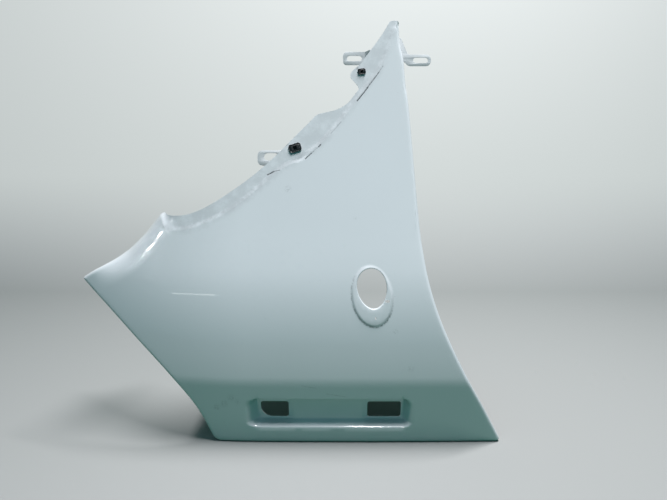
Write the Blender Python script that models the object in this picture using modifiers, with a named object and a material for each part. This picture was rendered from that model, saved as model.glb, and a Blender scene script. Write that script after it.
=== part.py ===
"""Car fender: the left front corner panel of a small cab-over van.

The panel is one steel pressing. It is modelled as it is made: a flat blank with its
outline is triangulated, pressed to depth by a form function, flanged, and then
given its sheet thickness. Two spot-welded brackets and two plastic screw grommets
are separate pieces.

Frame: X runs to the rear of the vehicle, Y inboard, Z up. The outer face looks
along -Y. The origin is on the inboard face of the upper bracket's front ear.
Lengths are in metres. Places on the panel are shares of its length, from the front
corner, and of its height, from the bottom edge.
"""
import math

import bmesh
import bpy
from mathutils import Matrix, Vector
from mathutils.geometry import delaunay_2d_cdt, interpolate_bezier
from mathutils.kdtree import KDTree

# Driving dimensions of the panel
panel_length = 0.664
panel_height = 0.640
sheet_thickness = 0.0008

# Body form: tuck below the belt, slope above it that eases to the tip, crown and nose in plan
belt_height = 0.103
belt_rise = 0.165
belt_blend = 0.008
tuck_angle = math.radians(9.0)
waist_angle = math.radians(3.0)
upper_angle = math.radians(19.0)
ease_height = 0.300
tip_angle = math.radians(9.0)
crown_radius = 8.0
crown_place_share = 0.667
nose_radius = 0.560
nose_place_share = 0.403

# Rolled edge and return flanges
edge_radius = 0.005
edge_arc_steps = 3
rear_flange_depth = 0.014
bottom_flange_depth = 0.018
front_flange_depth = 0.012
nose_flange_depth = 0.009
tip_flange_depth = 0.006
flange_blend = 0.030
nose_roll_radius = 0.040
nose_roll_width = 0.034
nose_roll_steps = 4
nose_roll_start_share = 0.12
nose_roll_full_share = 0.55

# Joggled mounting strip along the upper front edge
joggle_depth = 0.0016
joggle_run = 0.0075
joggle_steps = 3
joggle_fade = 0.018

# Raised lamp seat and lamp hole, tilted ovals
lamp_place_shares = (0.6931, 0.3620)
lamp_tilt = math.radians(9.0)
lamp_seat_half_width = 0.0318
lamp_seat_half_height = 0.0461
lamp_seat_rise = 0.0014
lamp_seat_wall_run = 0.0045
lamp_hole_half_width = 0.0219
lamp_hole_half_height = 0.0290
lamp_hole_rise = 0.0113
lamp_hole_point_share = 0.10
lamp_notch_width = 0.0065
lamp_notch_height = 0.0036
lamp_notch_angle = math.radians(-40.0)
lamp_slit_width = 0.0016
lamp_slit_height = 0.0042
lamp_slit_drop = 0.0315

# Long pocket above the bottom edge, with a window at each end of its back wall
pocket_place_shares = (0.5956, 0.0787)
pocket_length = 0.256
pocket_height = 0.052
pocket_depth = 0.016
pocket_top_run = 0.004
pocket_bottom_run = 0.010
pocket_front_run = 0.0225
pocket_rear_run = 0.0165
pocket_wall_steps = 4
front_window_length = 0.0430
rear_window_length = 0.0520
window_height = 0.0270
window_above_foot = 0.0012
window_corner = 0.0035
front_window_corner_length = 0.020
front_window_corner_height = 0.015
window_lip_run = 0.010
window_lip_depth = 0.003

# Upper bracket, in its own plane: across and up from its weld spot on the strip
upper_bracket_place_shares = (0.7020, 0.9042)
upper_bracket_thickness = 0.0016
upper_ear_offset = 0.012
upper_weld_width = 0.014
upper_ramp_run = 0.009
front_ear_reach = 0.0488
front_ear_height = 0.0200
front_ear_rise = 0.0050
rear_ear_reach = 0.0868
rear_ear_height = 0.0175
rear_ear_rise = 0.0022
ear_end_radius = 0.0055
ear_slot_length = 0.0230
ear_slot_width = 0.0085
front_slot_margin = 0.0060
rear_slot_margin = 0.0045
web_foot_reach = 0.051
web_top_reach = 0.0405
web_top_width = 0.0045
web_height = 0.0366
web_back_reach = 0.030
neck_start = 0.020
neck_reach = 0.044
neck_rise = 0.008
neck_run = 0.008
bracket_corner = 0.003
rear_ear_radius = 0.0075

# Mid bracket, in its own plane: across and up from its weld spot on the skin
mid_bracket_place_shares = (0.4860, 0.6062)
mid_bracket_thickness = 0.0016
mid_foot_length = 0.020
mid_leg_width = 0.022
mid_ramp_run = 0.014
mid_ramp_start = 0.010
mid_ear_offset = 0.012
mid_ear_reach = 0.0376
mid_ear_rise = 0.0490
mid_ear_height = 0.0236
mid_ear_radius = 0.008
mid_slot_length = 0.022
mid_slot_width = 0.012
mid_slot_offset = 0.0018
mid_slot_margin = 0.0100

# Screw grommets
lower_grommet_place_shares = (0.5180, 0.6981)
lower_grommet_length = 0.0192
lower_grommet_width = 0.0130
lower_grommet_tilt = math.radians(18.0)
lower_pad_radius = 0.017
lower_pad_run = 0.005
upper_grommet_place_shares = (0.6709, 0.8760)
upper_grommet_length = 0.0120
upper_grommet_width = 0.0086
upper_grommet_tilt = math.radians(9.0)
grommet_head_height = 0.0018
grommet_rim = 0.0018
grommet_shank_depth = 0.009
grommet_bore_share = 0.46
grommet_edge = 0.0008
fit_gap = 0.0003

# Mesh spacings and the reach of cutters past what they cut
skin_spacing = 0.022
edge_spacing = 0.012
detail_spacing = 0.006
trace_spacing = 0.002
weld_distance = 0.00001
cutter_reach = 0.030
clear_share = 0.6
tolerance_share = 0.0001
bore_sides = 16
smooth_angle = math.radians(35.0)

# Outline runs, clockwise from the tip as seen from outside
rear_edge_shares = (
    (0.7557, 0.9940), (0.7588, 0.9446), (0.7670, 0.9029), (0.7727, 0.8419), (0.7783, 0.8052),
    (0.7866, 0.7120), (0.7950, 0.6057), (0.8014, 0.5285), (0.8075, 0.4745), (0.8237, 0.3856),
    (0.8523, 0.2955), (0.9032, 0.1830), (0.9470, 0.1010), (1.0, -0.0034),
)
bottom_edge_shares = ((1.0, -0.0034), (0.3275, -0.0034))
front_edge_shares = (
    (0.3275, -0.0034), (0.2980, 0.0690), (0.2733, 0.1121), (0.2272, 0.1723), (0.1570, 0.2421),
    (0.0826, 0.3091), (0.0, 0.3753),
)
nose_edge_shares = (
    (0.0, 0.3753), (0.0273, 0.3935), (0.0805, 0.4230), (0.1100, 0.4430), (0.1270, 0.4570),
    (0.1462, 0.4760), (0.1628, 0.4933), (0.1764, 0.5110), (0.1896, 0.5275), (0.1980, 0.5372),
    (0.2095, 0.5415),
)
strip_edge_shares = (
    (0.2095, 0.5415), (0.2240, 0.5380), (0.2497, 0.5393), (0.2772, 0.5449), (0.3174, 0.5627),
    (0.3702, 0.5963), (0.4222, 0.6345), (0.4692, 0.6756), (0.5287, 0.7358), (0.5526, 0.7594),
    (0.5678, 0.7749), (0.5879, 0.7808), (0.6118, 0.7869), (0.6303, 0.7963), (0.6494, 0.8119),
    (0.6596, 0.8258), (0.6641, 0.8376), (0.6555, 0.8503), (0.6453, 0.8627), (0.6466, 0.8733),
    (0.6570, 0.8844), (0.6695, 0.8947), (0.6790, 0.9088), (0.6929, 0.9278), (0.7070, 0.9467),
    (0.7221, 0.9692), (0.7362, 0.9940),
)
tip_edge_shares = ((0.7362, 0.9940), (0.7557, 0.9940))
joggle_line_shares = (
    (0.2173, 0.5078), (0.2400, 0.5045), (0.2848, 0.5114), (0.3450, 0.5375), (0.3973, 0.5718),
    (0.4493, 0.6146), (0.4834, 0.6445), (0.5291, 0.6706), (0.5749, 0.7047), (0.6141, 0.7466),
    (0.6596, 0.8075), (0.7084, 0.8727), (0.7314, 0.9216), (0.7451, 0.9654),
)
tip_corner_cut = 0.003
rear_corner_cut = 0.008
bottom_corner_cut = 0.009
front_corner_cut = 0.0035
peak_corner_cut = 0.0025
corner_steps = 5
corner_handle_share = 0.6
round_handle_share = 0.55


def on_panel(shares):
    """The place on the flat blank that a pair of shares names."""
    return Vector((shares[0] * panel_length, shares[1] * panel_height))


def smoothstep(value):
    value = min(max(value, 0.0), 1.0)
    return value * value * (3.0 - 2.0 * value)


# Curves on the flat blank

def resampled(points, spacing):
    """The same polyline with evenly spaced points."""
    lengths = [(b - a).length for a, b in zip(points, points[1:])]
    total = sum(lengths)
    count = max(1, round(total / spacing))
    result = [points[0]]
    index = 0
    passed = 0.0
    for step in range(1, count):
        target = total * step / count
        while passed + lengths[index] < target:
            passed += lengths[index]
            index += 1
        result.append(points[index].lerp(points[index + 1], (target - passed) / lengths[index]))
    result.append(points[-1])
    return result


def smooth_run(shares):
    """A smooth curve through the places, as a fine polyline."""
    places = [on_panel(pair) for pair in shares]
    padded = [places[0] * 2.0 - places[1]] + places + [places[-1] * 2.0 - places[-2]]
    fine = [places[0]]
    for before, start, end, after in zip(padded, padded[1:], padded[2:], padded[3:]):
        reach = (end - start).length
        leave = (end - before) * (reach / (end - before).length)
        arrive = (after - start) * (reach / (after - start).length)
        steps = max(2, math.ceil(reach / trace_spacing))
        handles = (start + leave / 3.0, end - arrive / 3.0)
        points = interpolate_bezier(start, handles[0], handles[1], end, steps)
        fine.extend(point.to_2d() for point in points[1:])
    return resampled(fine, trace_spacing)


def trimmed(points, start_cut, end_cut):
    """The polyline with a length taken off each end."""
    total = sum((b - a).length for a, b in zip(points, points[1:]))
    kept = []
    passed = 0.0
    for index, point in enumerate(points):
        if index:
            passed += (point - points[index - 1]).length
        if start_cut <= passed <= total - end_cut:
            kept.append(point)
    return kept


def corner_arc(before, corner, after):
    """The rounded corner between two trimmed runs, without its end points."""
    first_handle = before.lerp(corner, corner_handle_share)
    second_handle = after.lerp(corner, corner_handle_share)
    points = interpolate_bezier(before, first_handle, second_handle, after, corner_steps + 1)
    return [point.to_2d() for point in points[1:-1]]


def nearest_on(line, point):
    """Distance to the polyline, share of its length there, and the side: left is positive."""
    best = None
    passed = 0.0
    for start, end in zip(line, line[1:]):
        edge = end - start
        length = edge.length
        along = min(max((point - start).dot(edge) / edge.length_squared, 0.0), 1.0)
        away = point - (start + edge * along)
        if best is None or away.length < best[0]:
            side = 1.0 if edge.x * away.y - edge.y * away.x > 0.0 else -1.0
            best = (away.length, passed + along * length, side)
        passed += length
    return best[0], best[1] / passed, best[2], passed


def offset_line(line, distance):
    """The polyline moved to its left."""
    moved = []
    for index, point in enumerate(line):
        before = line[max(index - 1, 0)]
        after = line[min(index + 1, len(line) - 1)]
        along = (after - before).normalized()
        moved.append(point + Vector((-along.y, along.x)) * distance)
    return moved


def oval(centre, half_width, half_height, tilt, count, point_share=0.0):
    """Points of a tilted oval, which a point share draws in towards its lower end."""
    points = []
    for step in range(count):
        angle = math.tau * step / count
        across = half_width * math.cos(angle) * (1.0 + point_share * math.sin(angle))
        up = half_height * math.sin(angle)
        points.append(centre + Matrix.Rotation(tilt, 2) @ Vector((across, up)))
    return points


rear_run = smooth_run(rear_edge_shares)
bottom_run = smooth_run(bottom_edge_shares)
front_run = smooth_run(front_edge_shares)
nose_run = smooth_run(nose_edge_shares)
strip_run = smooth_run(strip_edge_shares)
tip_run = smooth_run(tip_edge_shares)
joggle_line = resampled(smooth_run(joggle_line_shares), edge_spacing)


def panel_outline():
    """The flanged chain from the tip round to the peak, and the raw edge back to the tip."""
    runs = (rear_run, bottom_run, front_run, nose_run, strip_run, tip_run)
    cuts = (rear_corner_cut, bottom_corner_cut, front_corner_cut,
            peak_corner_cut, tip_corner_cut, tip_corner_cut)
    pieces = []
    for index, run in enumerate(runs):
        pieces.append(resampled(trimmed(run, cuts[index - 1], cuts[index]), edge_spacing))
    arcs = []
    for index, run in enumerate(runs):
        following = pieces[(index + 1) % len(pieces)]
        arcs.append(corner_arc(pieces[index][-1], run[-1], following[0]))
    chain = list(pieces[0])
    for index in range(1, 4):
        chain += arcs[index - 1] + pieces[index]
    raw = arcs[3] + pieces[4] + arcs[4] + pieces[5] + arcs[5]
    return chain, raw


# Form of the pressing: depth inboard at each place on the blank

def hinge(distance, blend):
    """Zero before a fold line and the distance past it after, rounded over the blend."""
    if distance <= -blend:
        return 0.0
    if distance >= blend:
        return distance
    return (distance + blend) ** 2 / (4.0 * blend)


def body_depth(place):
    """The smooth body form, without edges and details."""
    above = place.y - belt_height
    depth = math.tan(tuck_angle) * hinge(-above, belt_blend)
    depth += math.tan(waist_angle) * hinge(above, belt_blend)
    gain = math.tan(upper_angle) - math.tan(waist_angle)
    if above > belt_rise:
        depth += gain * (above - belt_rise / 2.0)
    elif above > 0.0:
        depth += gain * above ** 2 / (2.0 * belt_rise)
    eased = place.y - ease_height
    if eased > 0.0:
        loss = math.tan(upper_angle) - math.tan(tip_angle)
        depth -= loss * eased ** 2 / (2.0 * (panel_height - ease_height))
    depth += (place.x - crown_place_share * panel_length) ** 2 / (2.0 * crown_radius)
    ahead = nose_place_share * panel_length - place.x
    if ahead > 0.0:
        depth += ahead ** 2 / (2.0 * nose_radius)
    return depth


def arc_drop(distance, radius, width):
    """How far a round edge falls at a distance inside it."""
    inside = max(width - distance, 0.0)
    return radius - math.sqrt(max(radius ** 2 - inside ** 2, 0.0))


def nose_roll(place):
    distance, share, _, _ = nearest_on(nose_run, place)
    if distance >= nose_roll_width:
        return 0.0
    span = nose_roll_full_share - nose_roll_start_share
    strength = smoothstep((share - nose_roll_start_share) / span)
    return strength * arc_drop(distance, nose_roll_radius, nose_roll_width)


def joggle(place):
    distance, share, side, length = nearest_on(joggle_line, place)
    out = distance * side
    ends = smoothstep(share * length / joggle_fade)
    step = smoothstep(out / joggle_run) * ends
    pad_centre = on_panel(lower_grommet_place_shares)
    pad = smoothstep((lower_pad_radius + lower_pad_run - (place - pad_centre).length) / lower_pad_run)
    return joggle_depth * max(step, pad)


def lamp_centre():
    return on_panel(lamp_place_shares)


def lamp_hole_centre():
    return lamp_centre() + Vector((0.0, lamp_hole_rise))


def lamp_seat(place):
    local = Matrix.Rotation(-lamp_tilt, 2) @ (place - lamp_centre())
    reach = math.hypot(local.x / lamp_seat_half_width, local.y / lamp_seat_half_height)
    inside = (1.0 - reach) * lamp_seat_half_width
    return -lamp_seat_rise * smoothstep(inside / lamp_seat_wall_run)


def pocket_frame():
    """Front, rear, bottom and top of the pocket's rim on the blank."""
    centre = on_panel(pocket_place_shares)
    front = centre.x - pocket_length / 2.0
    bottom = centre.y - pocket_height / 2.0
    return front, front + pocket_length, bottom, bottom + pocket_height


def windows():
    """Each window's front, rear, bottom and top."""
    front, rear, bottom, _ = pocket_frame()
    foot = bottom + pocket_bottom_run + window_above_foot
    top = foot + window_height
    first = front + pocket_front_run
    last = rear - pocket_rear_run
    return ((first, first + front_window_length, foot, top),
            (last - rear_window_length, last, foot, top))


def pocket(place):
    front, rear, bottom, top = pocket_frame()
    if not (front < place.x < rear and bottom < place.y < top):
        return 0.0
    along = min((place.x - front) / pocket_front_run, (rear - place.x) / pocket_rear_run, 1.0)
    across = min((place.y - bottom) / pocket_bottom_run, (top - place.y) / pocket_top_run, 1.0)
    wall = smoothstep(1.0 - math.hypot(1.0 - along, 1.0 - across))
    first, last = windows()
    lip = max(smoothstep(1.0 - (place.x - first[1]) / window_lip_run),
              smoothstep(1.0 - (last[0] - place.x) / window_lip_run))
    return (pocket_depth + window_lip_depth * lip) * wall


def panel_depth(place, chain=None):
    depth = body_depth(place) + nose_roll(place) + joggle(place) + lamp_seat(place) + pocket(place)
    if chain:
        depth += arc_drop(nearest_on(chain, place)[0], edge_radius, edge_radius)
    return depth


# Blanks, pressing and finishing

def blank(outline, lines, loose_points, spacing):
    """Triangles that fill the outline, with edges along the lines and points set evenly."""
    places = list(outline)
    count = len(outline)
    edges = [(index, (index + 1) % count) for index in range(count)]
    for line in lines:
        first = len(places)
        places.extend(line)
        edges.extend((first + index, first + index + 1) for index in range(len(line) - 1))
    fixed = KDTree(len(places))
    for index, place in enumerate(places):
        fixed.insert(place.to_3d(), index)
    fixed.balance()
    free = []
    for place, clearance in loose_points:
        if fixed.find(place.to_3d())[2] > clearance:
            free.append(place)
    near = KDTree(len(places) + len(free))
    for index, place in enumerate(places + free):
        near.insert(place.to_3d(), index)
    near.balance()
    low = Vector((min(p.x for p in outline), min(p.y for p in outline)))
    high = Vector((max(p.x for p in outline), max(p.y for p in outline)))
    row_height = spacing * math.sqrt(3.0) / 2.0
    for row in range(1, math.ceil((high.y - low.y) / row_height)):
        shift = spacing / 2.0 * (row % 2)
        for column in range(1, math.ceil((high.x - low.x) / spacing)):
            place = low + Vector((column * spacing + shift, row * row_height))
            if near.find(place.to_3d())[2] > spacing * clear_share:
                free.append(place)
    edge_tolerance = trace_spacing * tolerance_share
    face = [list(range(count))]
    result = delaunay_2d_cdt(places + free, edges, face, 1, edge_tolerance)
    return result[0], result[2]


def mesh_object(name, vertices, faces, collection, material=None):
    mesh = bpy.data.meshes.new(name)
    mesh.from_pydata(vertices, [], faces)
    mesh.update()
    made = bpy.data.objects.new(name, mesh)
    collection.objects.link(made)
    if material:
        mesh.materials.append(material)
    return made


def solidify(made, thickness):
    """Gives an open surface its thickness, behind the modelled face."""
    modifier = made.modifiers.new("sheet thickness", "SOLIDIFY")
    modifier.thickness = thickness
    modifier.offset = -1.0
    modifier.use_even_offset = True


def cut(made, cutter):
    modifier = made.modifiers.new("cut " + cutter.name, "BOOLEAN")
    modifier.operation = "DIFFERENCE"
    modifier.solver = "EXACT"
    modifier.object = cutter


def weld_and_face_out(mesh):
    shape = bmesh.new()
    shape.from_mesh(mesh)
    bmesh.ops.remove_doubles(shape, verts=shape.verts, dist=weld_distance)
    bmesh.ops.recalc_face_normals(shape, faces=shape.faces)
    shape.to_mesh(mesh)
    shape.free()


def place_in(made, frame, datum):
    made.parent = datum
    made.matrix_local = frame


def prism(name, outline, frame, depth_from, depth_to):
    """A cutter with the outline's shape across and up in the frame, between two depths."""
    curve = bpy.data.curves.new(name, "CURVE")
    curve.dimensions = "2D"
    curve.fill_mode = "BOTH"
    curve.extrude = (depth_to - depth_from) / 2.0
    spline = curve.splines.new("POLY")
    spline.points.add(len(outline) - 1)
    for point, place in zip(spline.points, outline):
        point.co = (place.x, place.y, 0.0, 1.0)
    spline.use_cyclic_u = True
    drawn = bpy.data.objects.new(name + " outline", curve)
    cutter_collection.objects.link(drawn)
    evaluated = drawn.evaluated_get(bpy.context.evaluated_depsgraph_get())
    mesh = bpy.data.meshes.new_from_object(evaluated)
    bpy.data.objects.remove(drawn)
    weld_and_face_out(mesh)
    cutter = bpy.data.objects.new(name, mesh)
    cutter_collection.objects.link(cutter)
    middle = Matrix.Translation((0.0, (depth_from + depth_to) / 2.0, 0.0))
    place_in(cutter, frame @ middle @ Matrix.Rotation(math.pi / 2.0, 4, "X"), datum)
    cutter.hide_render = True
    cutter.display_type = "WIRE"
    return cutter


def rounded(corners):
    """A closed outline whose corners are rounded, each starting its own cut before the corner."""
    outline = []
    for index, (corner, radius) in enumerate(corners):
        before = corners[index - 1][0]
        after = corners[(index + 1) % len(corners)][0]
        start = corner + (before - corner).normalized() * radius
        end = corner + (after - corner).normalized() * radius
        first = start.lerp(corner, round_handle_share)
        second = end.lerp(corner, round_handle_share)
        points = interpolate_bezier(start, first, second, end, corner_steps + 1)
        outline.extend(point.to_2d() for point in points)
    return outline


def rectangle(centre, width, height, radius, tilt=0.0):
    corners = []
    for side, end in ((-1, -1), (1, -1), (1, 1), (-1, 1)):
        offset = Vector((side * width / 2.0, end * height / 2.0))
        corners.append((centre + Matrix.Rotation(tilt, 2) @ offset, radius))
    return rounded(corners)


def skin_frame(shares, extra_depth=0.0):
    """Axes on the pressed sheet at a place: across, inboard and up, with a depth past its face."""
    place = on_panel(shares)
    across_step = Vector((detail_spacing, 0.0))
    up_step = Vector((0.0, detail_spacing))
    slope_x = (body_depth(place + across_step) - body_depth(place - across_step)) / (2.0 * detail_spacing)
    slope_z = (body_depth(place + up_step) - body_depth(place - up_step)) / (2.0 * detail_spacing)
    across = Vector((1.0, slope_x, 0.0)).normalized()
    up = Vector((0.0, slope_z, 1.0))
    inboard = up.cross(across).normalized()
    up = across.cross(inboard)
    base = Vector((place.x, panel_depth(place), place.y)) + inboard * extra_depth
    frame = Matrix((across, inboard, up)).transposed().to_4x4()
    return Matrix.Translation(base) @ frame


def painted_steel():
    return surface("white paint", (0.74, 0.78, 0.81, 1.0), 0.18, 0.0)


def surface(name, colour, roughness, metallic):
    material = bpy.data.materials.new(name)
    material.use_nodes = True
    shader = material.node_tree.nodes["Principled BSDF"]
    shader.inputs["Base Color"].default_value = colour
    shader.inputs["Roughness"].default_value = roughness
    shader.inputs["Metallic"].default_value = metallic
    material.diffuse_color = colour
    return material


def smooth_shade(made, angle):
    made.data.shade_smooth()
    made.data.set_sharp_from_angle(angle=angle)


# The panel

def pocket_rows():
    """Lines along the pocket, close together on its walls."""
    front, rear, bottom, top = pocket_frame()
    columns = [front + pocket_front_run * step / pocket_wall_steps for step in range(pocket_wall_steps + 1)]
    first, last = windows()
    columns += [first[1], first[1] + window_lip_run, last[0] - window_lip_run, last[0]]
    columns += [rear - pocket_rear_run * step / pocket_wall_steps for step in range(pocket_wall_steps + 1)]
    middle = resampled([Vector((first[1] + window_lip_run, bottom)),
                        Vector((last[0] - window_lip_run, bottom))], skin_spacing)
    columns += [point.x for point in middle[1:-1]]
    columns.sort()
    heights = [bottom + pocket_bottom_run * step / pocket_wall_steps for step in range(pocket_wall_steps + 1)]
    heights += [top - pocket_top_run * step / pocket_wall_steps for step in range(pocket_wall_steps + 1)]
    heights.append((heights[pocket_wall_steps] + heights[-1]) / 2.0)
    return [[Vector((x, z)) for x in columns] for z in heights]


def panel_lines(chain):
    """Lines that the blank's triangles follow: edge rounding, joggle, belt and pocket."""
    lines = []
    for step in range(1, edge_arc_steps + 1):
        turn = math.pi / 2.0 * step / edge_arc_steps
        lines.append(offset_line(chain, -edge_radius * (1.0 - math.cos(turn))))
    for step in range(joggle_steps + 1):
        lines.append(offset_line(joggle_line, joggle_run * step / joggle_steps))
    lines += pocket_rows()
    return lines


def panel_points():
    """Loose places where the form turns quickly: nose roll, lamp seat, pad and belt crease."""
    points = []
    for step in range(1, nose_roll_steps + 1):
        inset = edge_radius + (nose_roll_width - edge_radius) * step / nose_roll_steps
        for place in offset_line(resampled(nose_run, edge_spacing), -inset):
            points.append((place, detail_spacing))
    seat_turns = round(math.pi * (lamp_seat_half_width + lamp_seat_half_height) / detail_spacing)
    for inset in (0.0, lamp_seat_wall_run / 2.0, lamp_seat_wall_run):
        ring = oval(lamp_centre(), lamp_seat_half_width - inset, lamp_seat_half_height - inset,
                    lamp_tilt, seat_turns)
        points += [(place, trace_spacing) for place in ring]
    pad_turns = round(math.tau * lower_pad_radius / detail_spacing)
    for run in (0.0, lower_pad_run / 2.0, lower_pad_run):
        radius = lower_pad_radius + run
        ring = oval(on_panel(lower_grommet_place_shares), radius, radius, 0.0, pad_turns)
        points += [(place, trace_spacing) for place in ring]
    for height in (belt_height - belt_blend, belt_height, belt_height + belt_blend):
        row = resampled([Vector((0.0, height)), Vector((panel_length, height))], edge_spacing)
        points += [(place, detail_spacing) for place in row]
    return points


def flange_depth(share_run, along):
    """Depth of the return flange along the chain, blended between the four edges."""
    depth = tip_flange_depth
    limits = ((0.0, rear_flange_depth), (share_run[0], bottom_flange_depth),
              (share_run[1], front_flange_depth), (share_run[2], nose_flange_depth))
    for start, target in limits:
        depth += (target - depth) * smoothstep((along - start) / flange_blend)
    return depth


def make_panel(paint):
    chain, raw = panel_outline()
    outline = chain + raw
    outline_2d, faces = blank(outline, panel_lines(chain), panel_points(), skin_spacing)
    vertices = [Vector((place.x, panel_depth(place, chain), place.y)) for place in outline_2d]
    faces = [list(face) for face in faces]
    lengths = [0.0]
    for start, end in zip(chain, chain[1:]):
        lengths.append(lengths[-1] + (end - start).length)
    turns = []
    for corner in (rear_run[-1], bottom_run[-1], front_run[-1]):
        nearest = min(range(len(chain)), key=lambda index: (chain[index] - corner).length)
        turns.append(lengths[nearest] - flange_blend / 2.0)
    chain_count = len(chain)
    lower = []
    for index in range(chain_count):
        depth = flange_depth(turns, lengths[index])
        lower.append(len(vertices))
        vertices.append(vertices[index] + Vector((0.0, depth - edge_radius, 0.0)))
    for index in range(chain_count - 1):
        faces.append([index, index + 1, lower[index + 1], lower[index]])
    panel = mesh_object("fender_panel", vertices, faces, fender_collection, paint)
    place_in(panel, Matrix.Identity(4), datum)
    solidify(panel, sheet_thickness)
    for cutter in panel_cutters():
        cut(panel, cutter)
    smooth_shade(panel, smooth_angle)
    return panel


def grommet_hole(shares, length, width, tilt):
    """The square hole in the strip, a fit gap larger than the grommet's shank."""
    frame = skin_frame(shares)
    opening = rectangle(Vector((0.0, 0.0)), length - 2.0 * (grommet_rim - fit_gap),
                        width - 2.0 * (grommet_rim - fit_gap), grommet_edge, tilt)
    return frame, opening


def panel_cutters():
    """Holes that are pierced after pressing."""
    cutters = []
    level = Matrix.Identity(4)
    nearest = -edge_radius
    hole_turns = round(math.pi * (lamp_hole_half_width + lamp_hole_half_height) / detail_spacing) * 2
    hole = oval(lamp_hole_centre(), lamp_hole_half_width, lamp_hole_half_height, lamp_tilt,
                hole_turns, lamp_hole_point_share)
    cutters.append(prism("lamp hole", hole, level, nearest, cutter_reach * 2.0))
    reach = Vector(((lamp_hole_half_width + lamp_notch_height) * math.cos(lamp_notch_angle),
                    (lamp_hole_half_height + lamp_notch_height) * math.sin(lamp_notch_angle)))
    notch = rectangle(lamp_hole_centre() + Matrix.Rotation(lamp_tilt, 2) @ reach,
                      lamp_notch_width, lamp_notch_height, grommet_edge)
    cutters.append(prism("lamp notch", notch, level, nearest, cutter_reach * 2.0))
    drop = Matrix.Rotation(lamp_tilt, 2) @ Vector((0.0, -lamp_slit_drop))
    slit = rectangle(lamp_centre() + drop, lamp_slit_width, lamp_slit_height, lamp_slit_width / 3.0)
    cutters.append(prism("lamp slit", slit, level, nearest, cutter_reach * 2.0))
    for number, (front, rear, bottom, top) in enumerate(windows()):
        big = (front_window_corner_length + front_window_corner_height) / 2.0
        corners = [(Vector((front, top)), window_corner), (Vector((front, bottom)), window_corner),
                   (Vector((rear, bottom)), window_corner), (Vector((rear, top)), window_corner)]
        if number == 0:
            corners[1] = (corners[1][0], big)
        opening = rounded(corners)
        cutters.append(prism("pocket window %d" % (number + 1), opening, level, nearest, cutter_reach * 2.0))
    for name, shares, length, width, tilt in (
            ("lower", lower_grommet_place_shares, lower_grommet_length, lower_grommet_width,
             lower_grommet_tilt),
            ("upper", upper_grommet_place_shares, upper_grommet_length, upper_grommet_width,
             upper_grommet_tilt)):
        frame, opening = grommet_hole(shares, length, width, tilt)
        cutters.append(prism(name + " grommet hole", opening, frame, -edge_radius, edge_radius))
    return cutters


# Brackets and grommets

def pressed_bracket(name, outline, lines, depth_at, thickness, shares, paint):
    """A bracket pressed from its own flat blank, seated behind the sheet at a place."""
    places, faces = blank(outline, lines, [], edge_spacing)
    vertices = [Vector((place.x, depth_at(place), place.y)) for place in places]
    bracket = mesh_object(name, vertices, faces, fender_collection, paint)
    frame = skin_frame(shares, sheet_thickness + fit_gap)
    place_in(bracket, frame, datum)
    solidify(bracket, thickness)
    smooth_shade(bracket, smooth_angle)
    return bracket, frame


def slot_outline(centre, length, width):
    return rectangle(centre, length, width, width / 2.0)


def upper_slots():
    """Centres of the front and the rear ear's slots in the bracket's plane."""
    front = Vector((-front_ear_reach + front_slot_margin + ear_slot_length / 2.0, front_ear_rise))
    rear = Vector((rear_ear_reach - rear_slot_margin - ear_slot_length / 2.0, rear_ear_rise))
    return front, rear


def make_upper_bracket(paint):
    front_top = front_ear_rise + front_ear_height / 2.0
    front_bottom = front_ear_rise - front_ear_height / 2.0
    rear_top = rear_ear_rise + rear_ear_height / 2.0
    rear_bottom = rear_ear_rise - rear_ear_height / 2.0
    outline = rounded([
        (Vector((-front_ear_reach, front_top)), ear_end_radius),
        (Vector((-front_ear_reach, front_bottom)), ear_end_radius),
        (Vector((neck_start, front_bottom)), bracket_corner),
        (Vector((neck_reach, rear_bottom + neck_rise)), bracket_corner),
        (Vector((neck_reach + neck_run, rear_bottom)), bracket_corner),
        (Vector((rear_ear_reach, rear_bottom)), rear_ear_radius),
        (Vector((rear_ear_reach, rear_top)), rear_ear_radius),
        (Vector((web_foot_reach, rear_top)), bracket_corner),
        (Vector((web_top_reach, web_height)), web_top_width / 3.0),
        (Vector((web_top_reach - web_top_width, web_height)), web_top_width / 3.0),
        (Vector((web_back_reach, front_top)), bracket_corner),
    ])
    half_weld = upper_weld_width / 2.0
    lines = []
    for side in (-1.0, 1.0):
        for step in range(joggle_steps + 1):
            across = side * (half_weld + upper_ramp_run * step / joggle_steps)
            rows = [Vector((across, front_bottom + trace_spacing)), Vector((across, front_top - trace_spacing))]
            lines.append(resampled(rows, detail_spacing))

    def depth_at(place):
        return upper_ear_offset * smoothstep((abs(place.x) - half_weld) / upper_ramp_run)

    bracket, frame = pressed_bracket("upper_bracket", outline, lines, depth_at,
                                     upper_bracket_thickness, upper_bracket_place_shares, paint)
    for name, centre in zip(("front", "rear"), upper_slots()):
        opening = slot_outline(centre, ear_slot_length, ear_slot_width)
        cut(bracket, prism(name + " ear slot", opening, frame, 0.0, cutter_reach))
    return bracket


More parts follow.
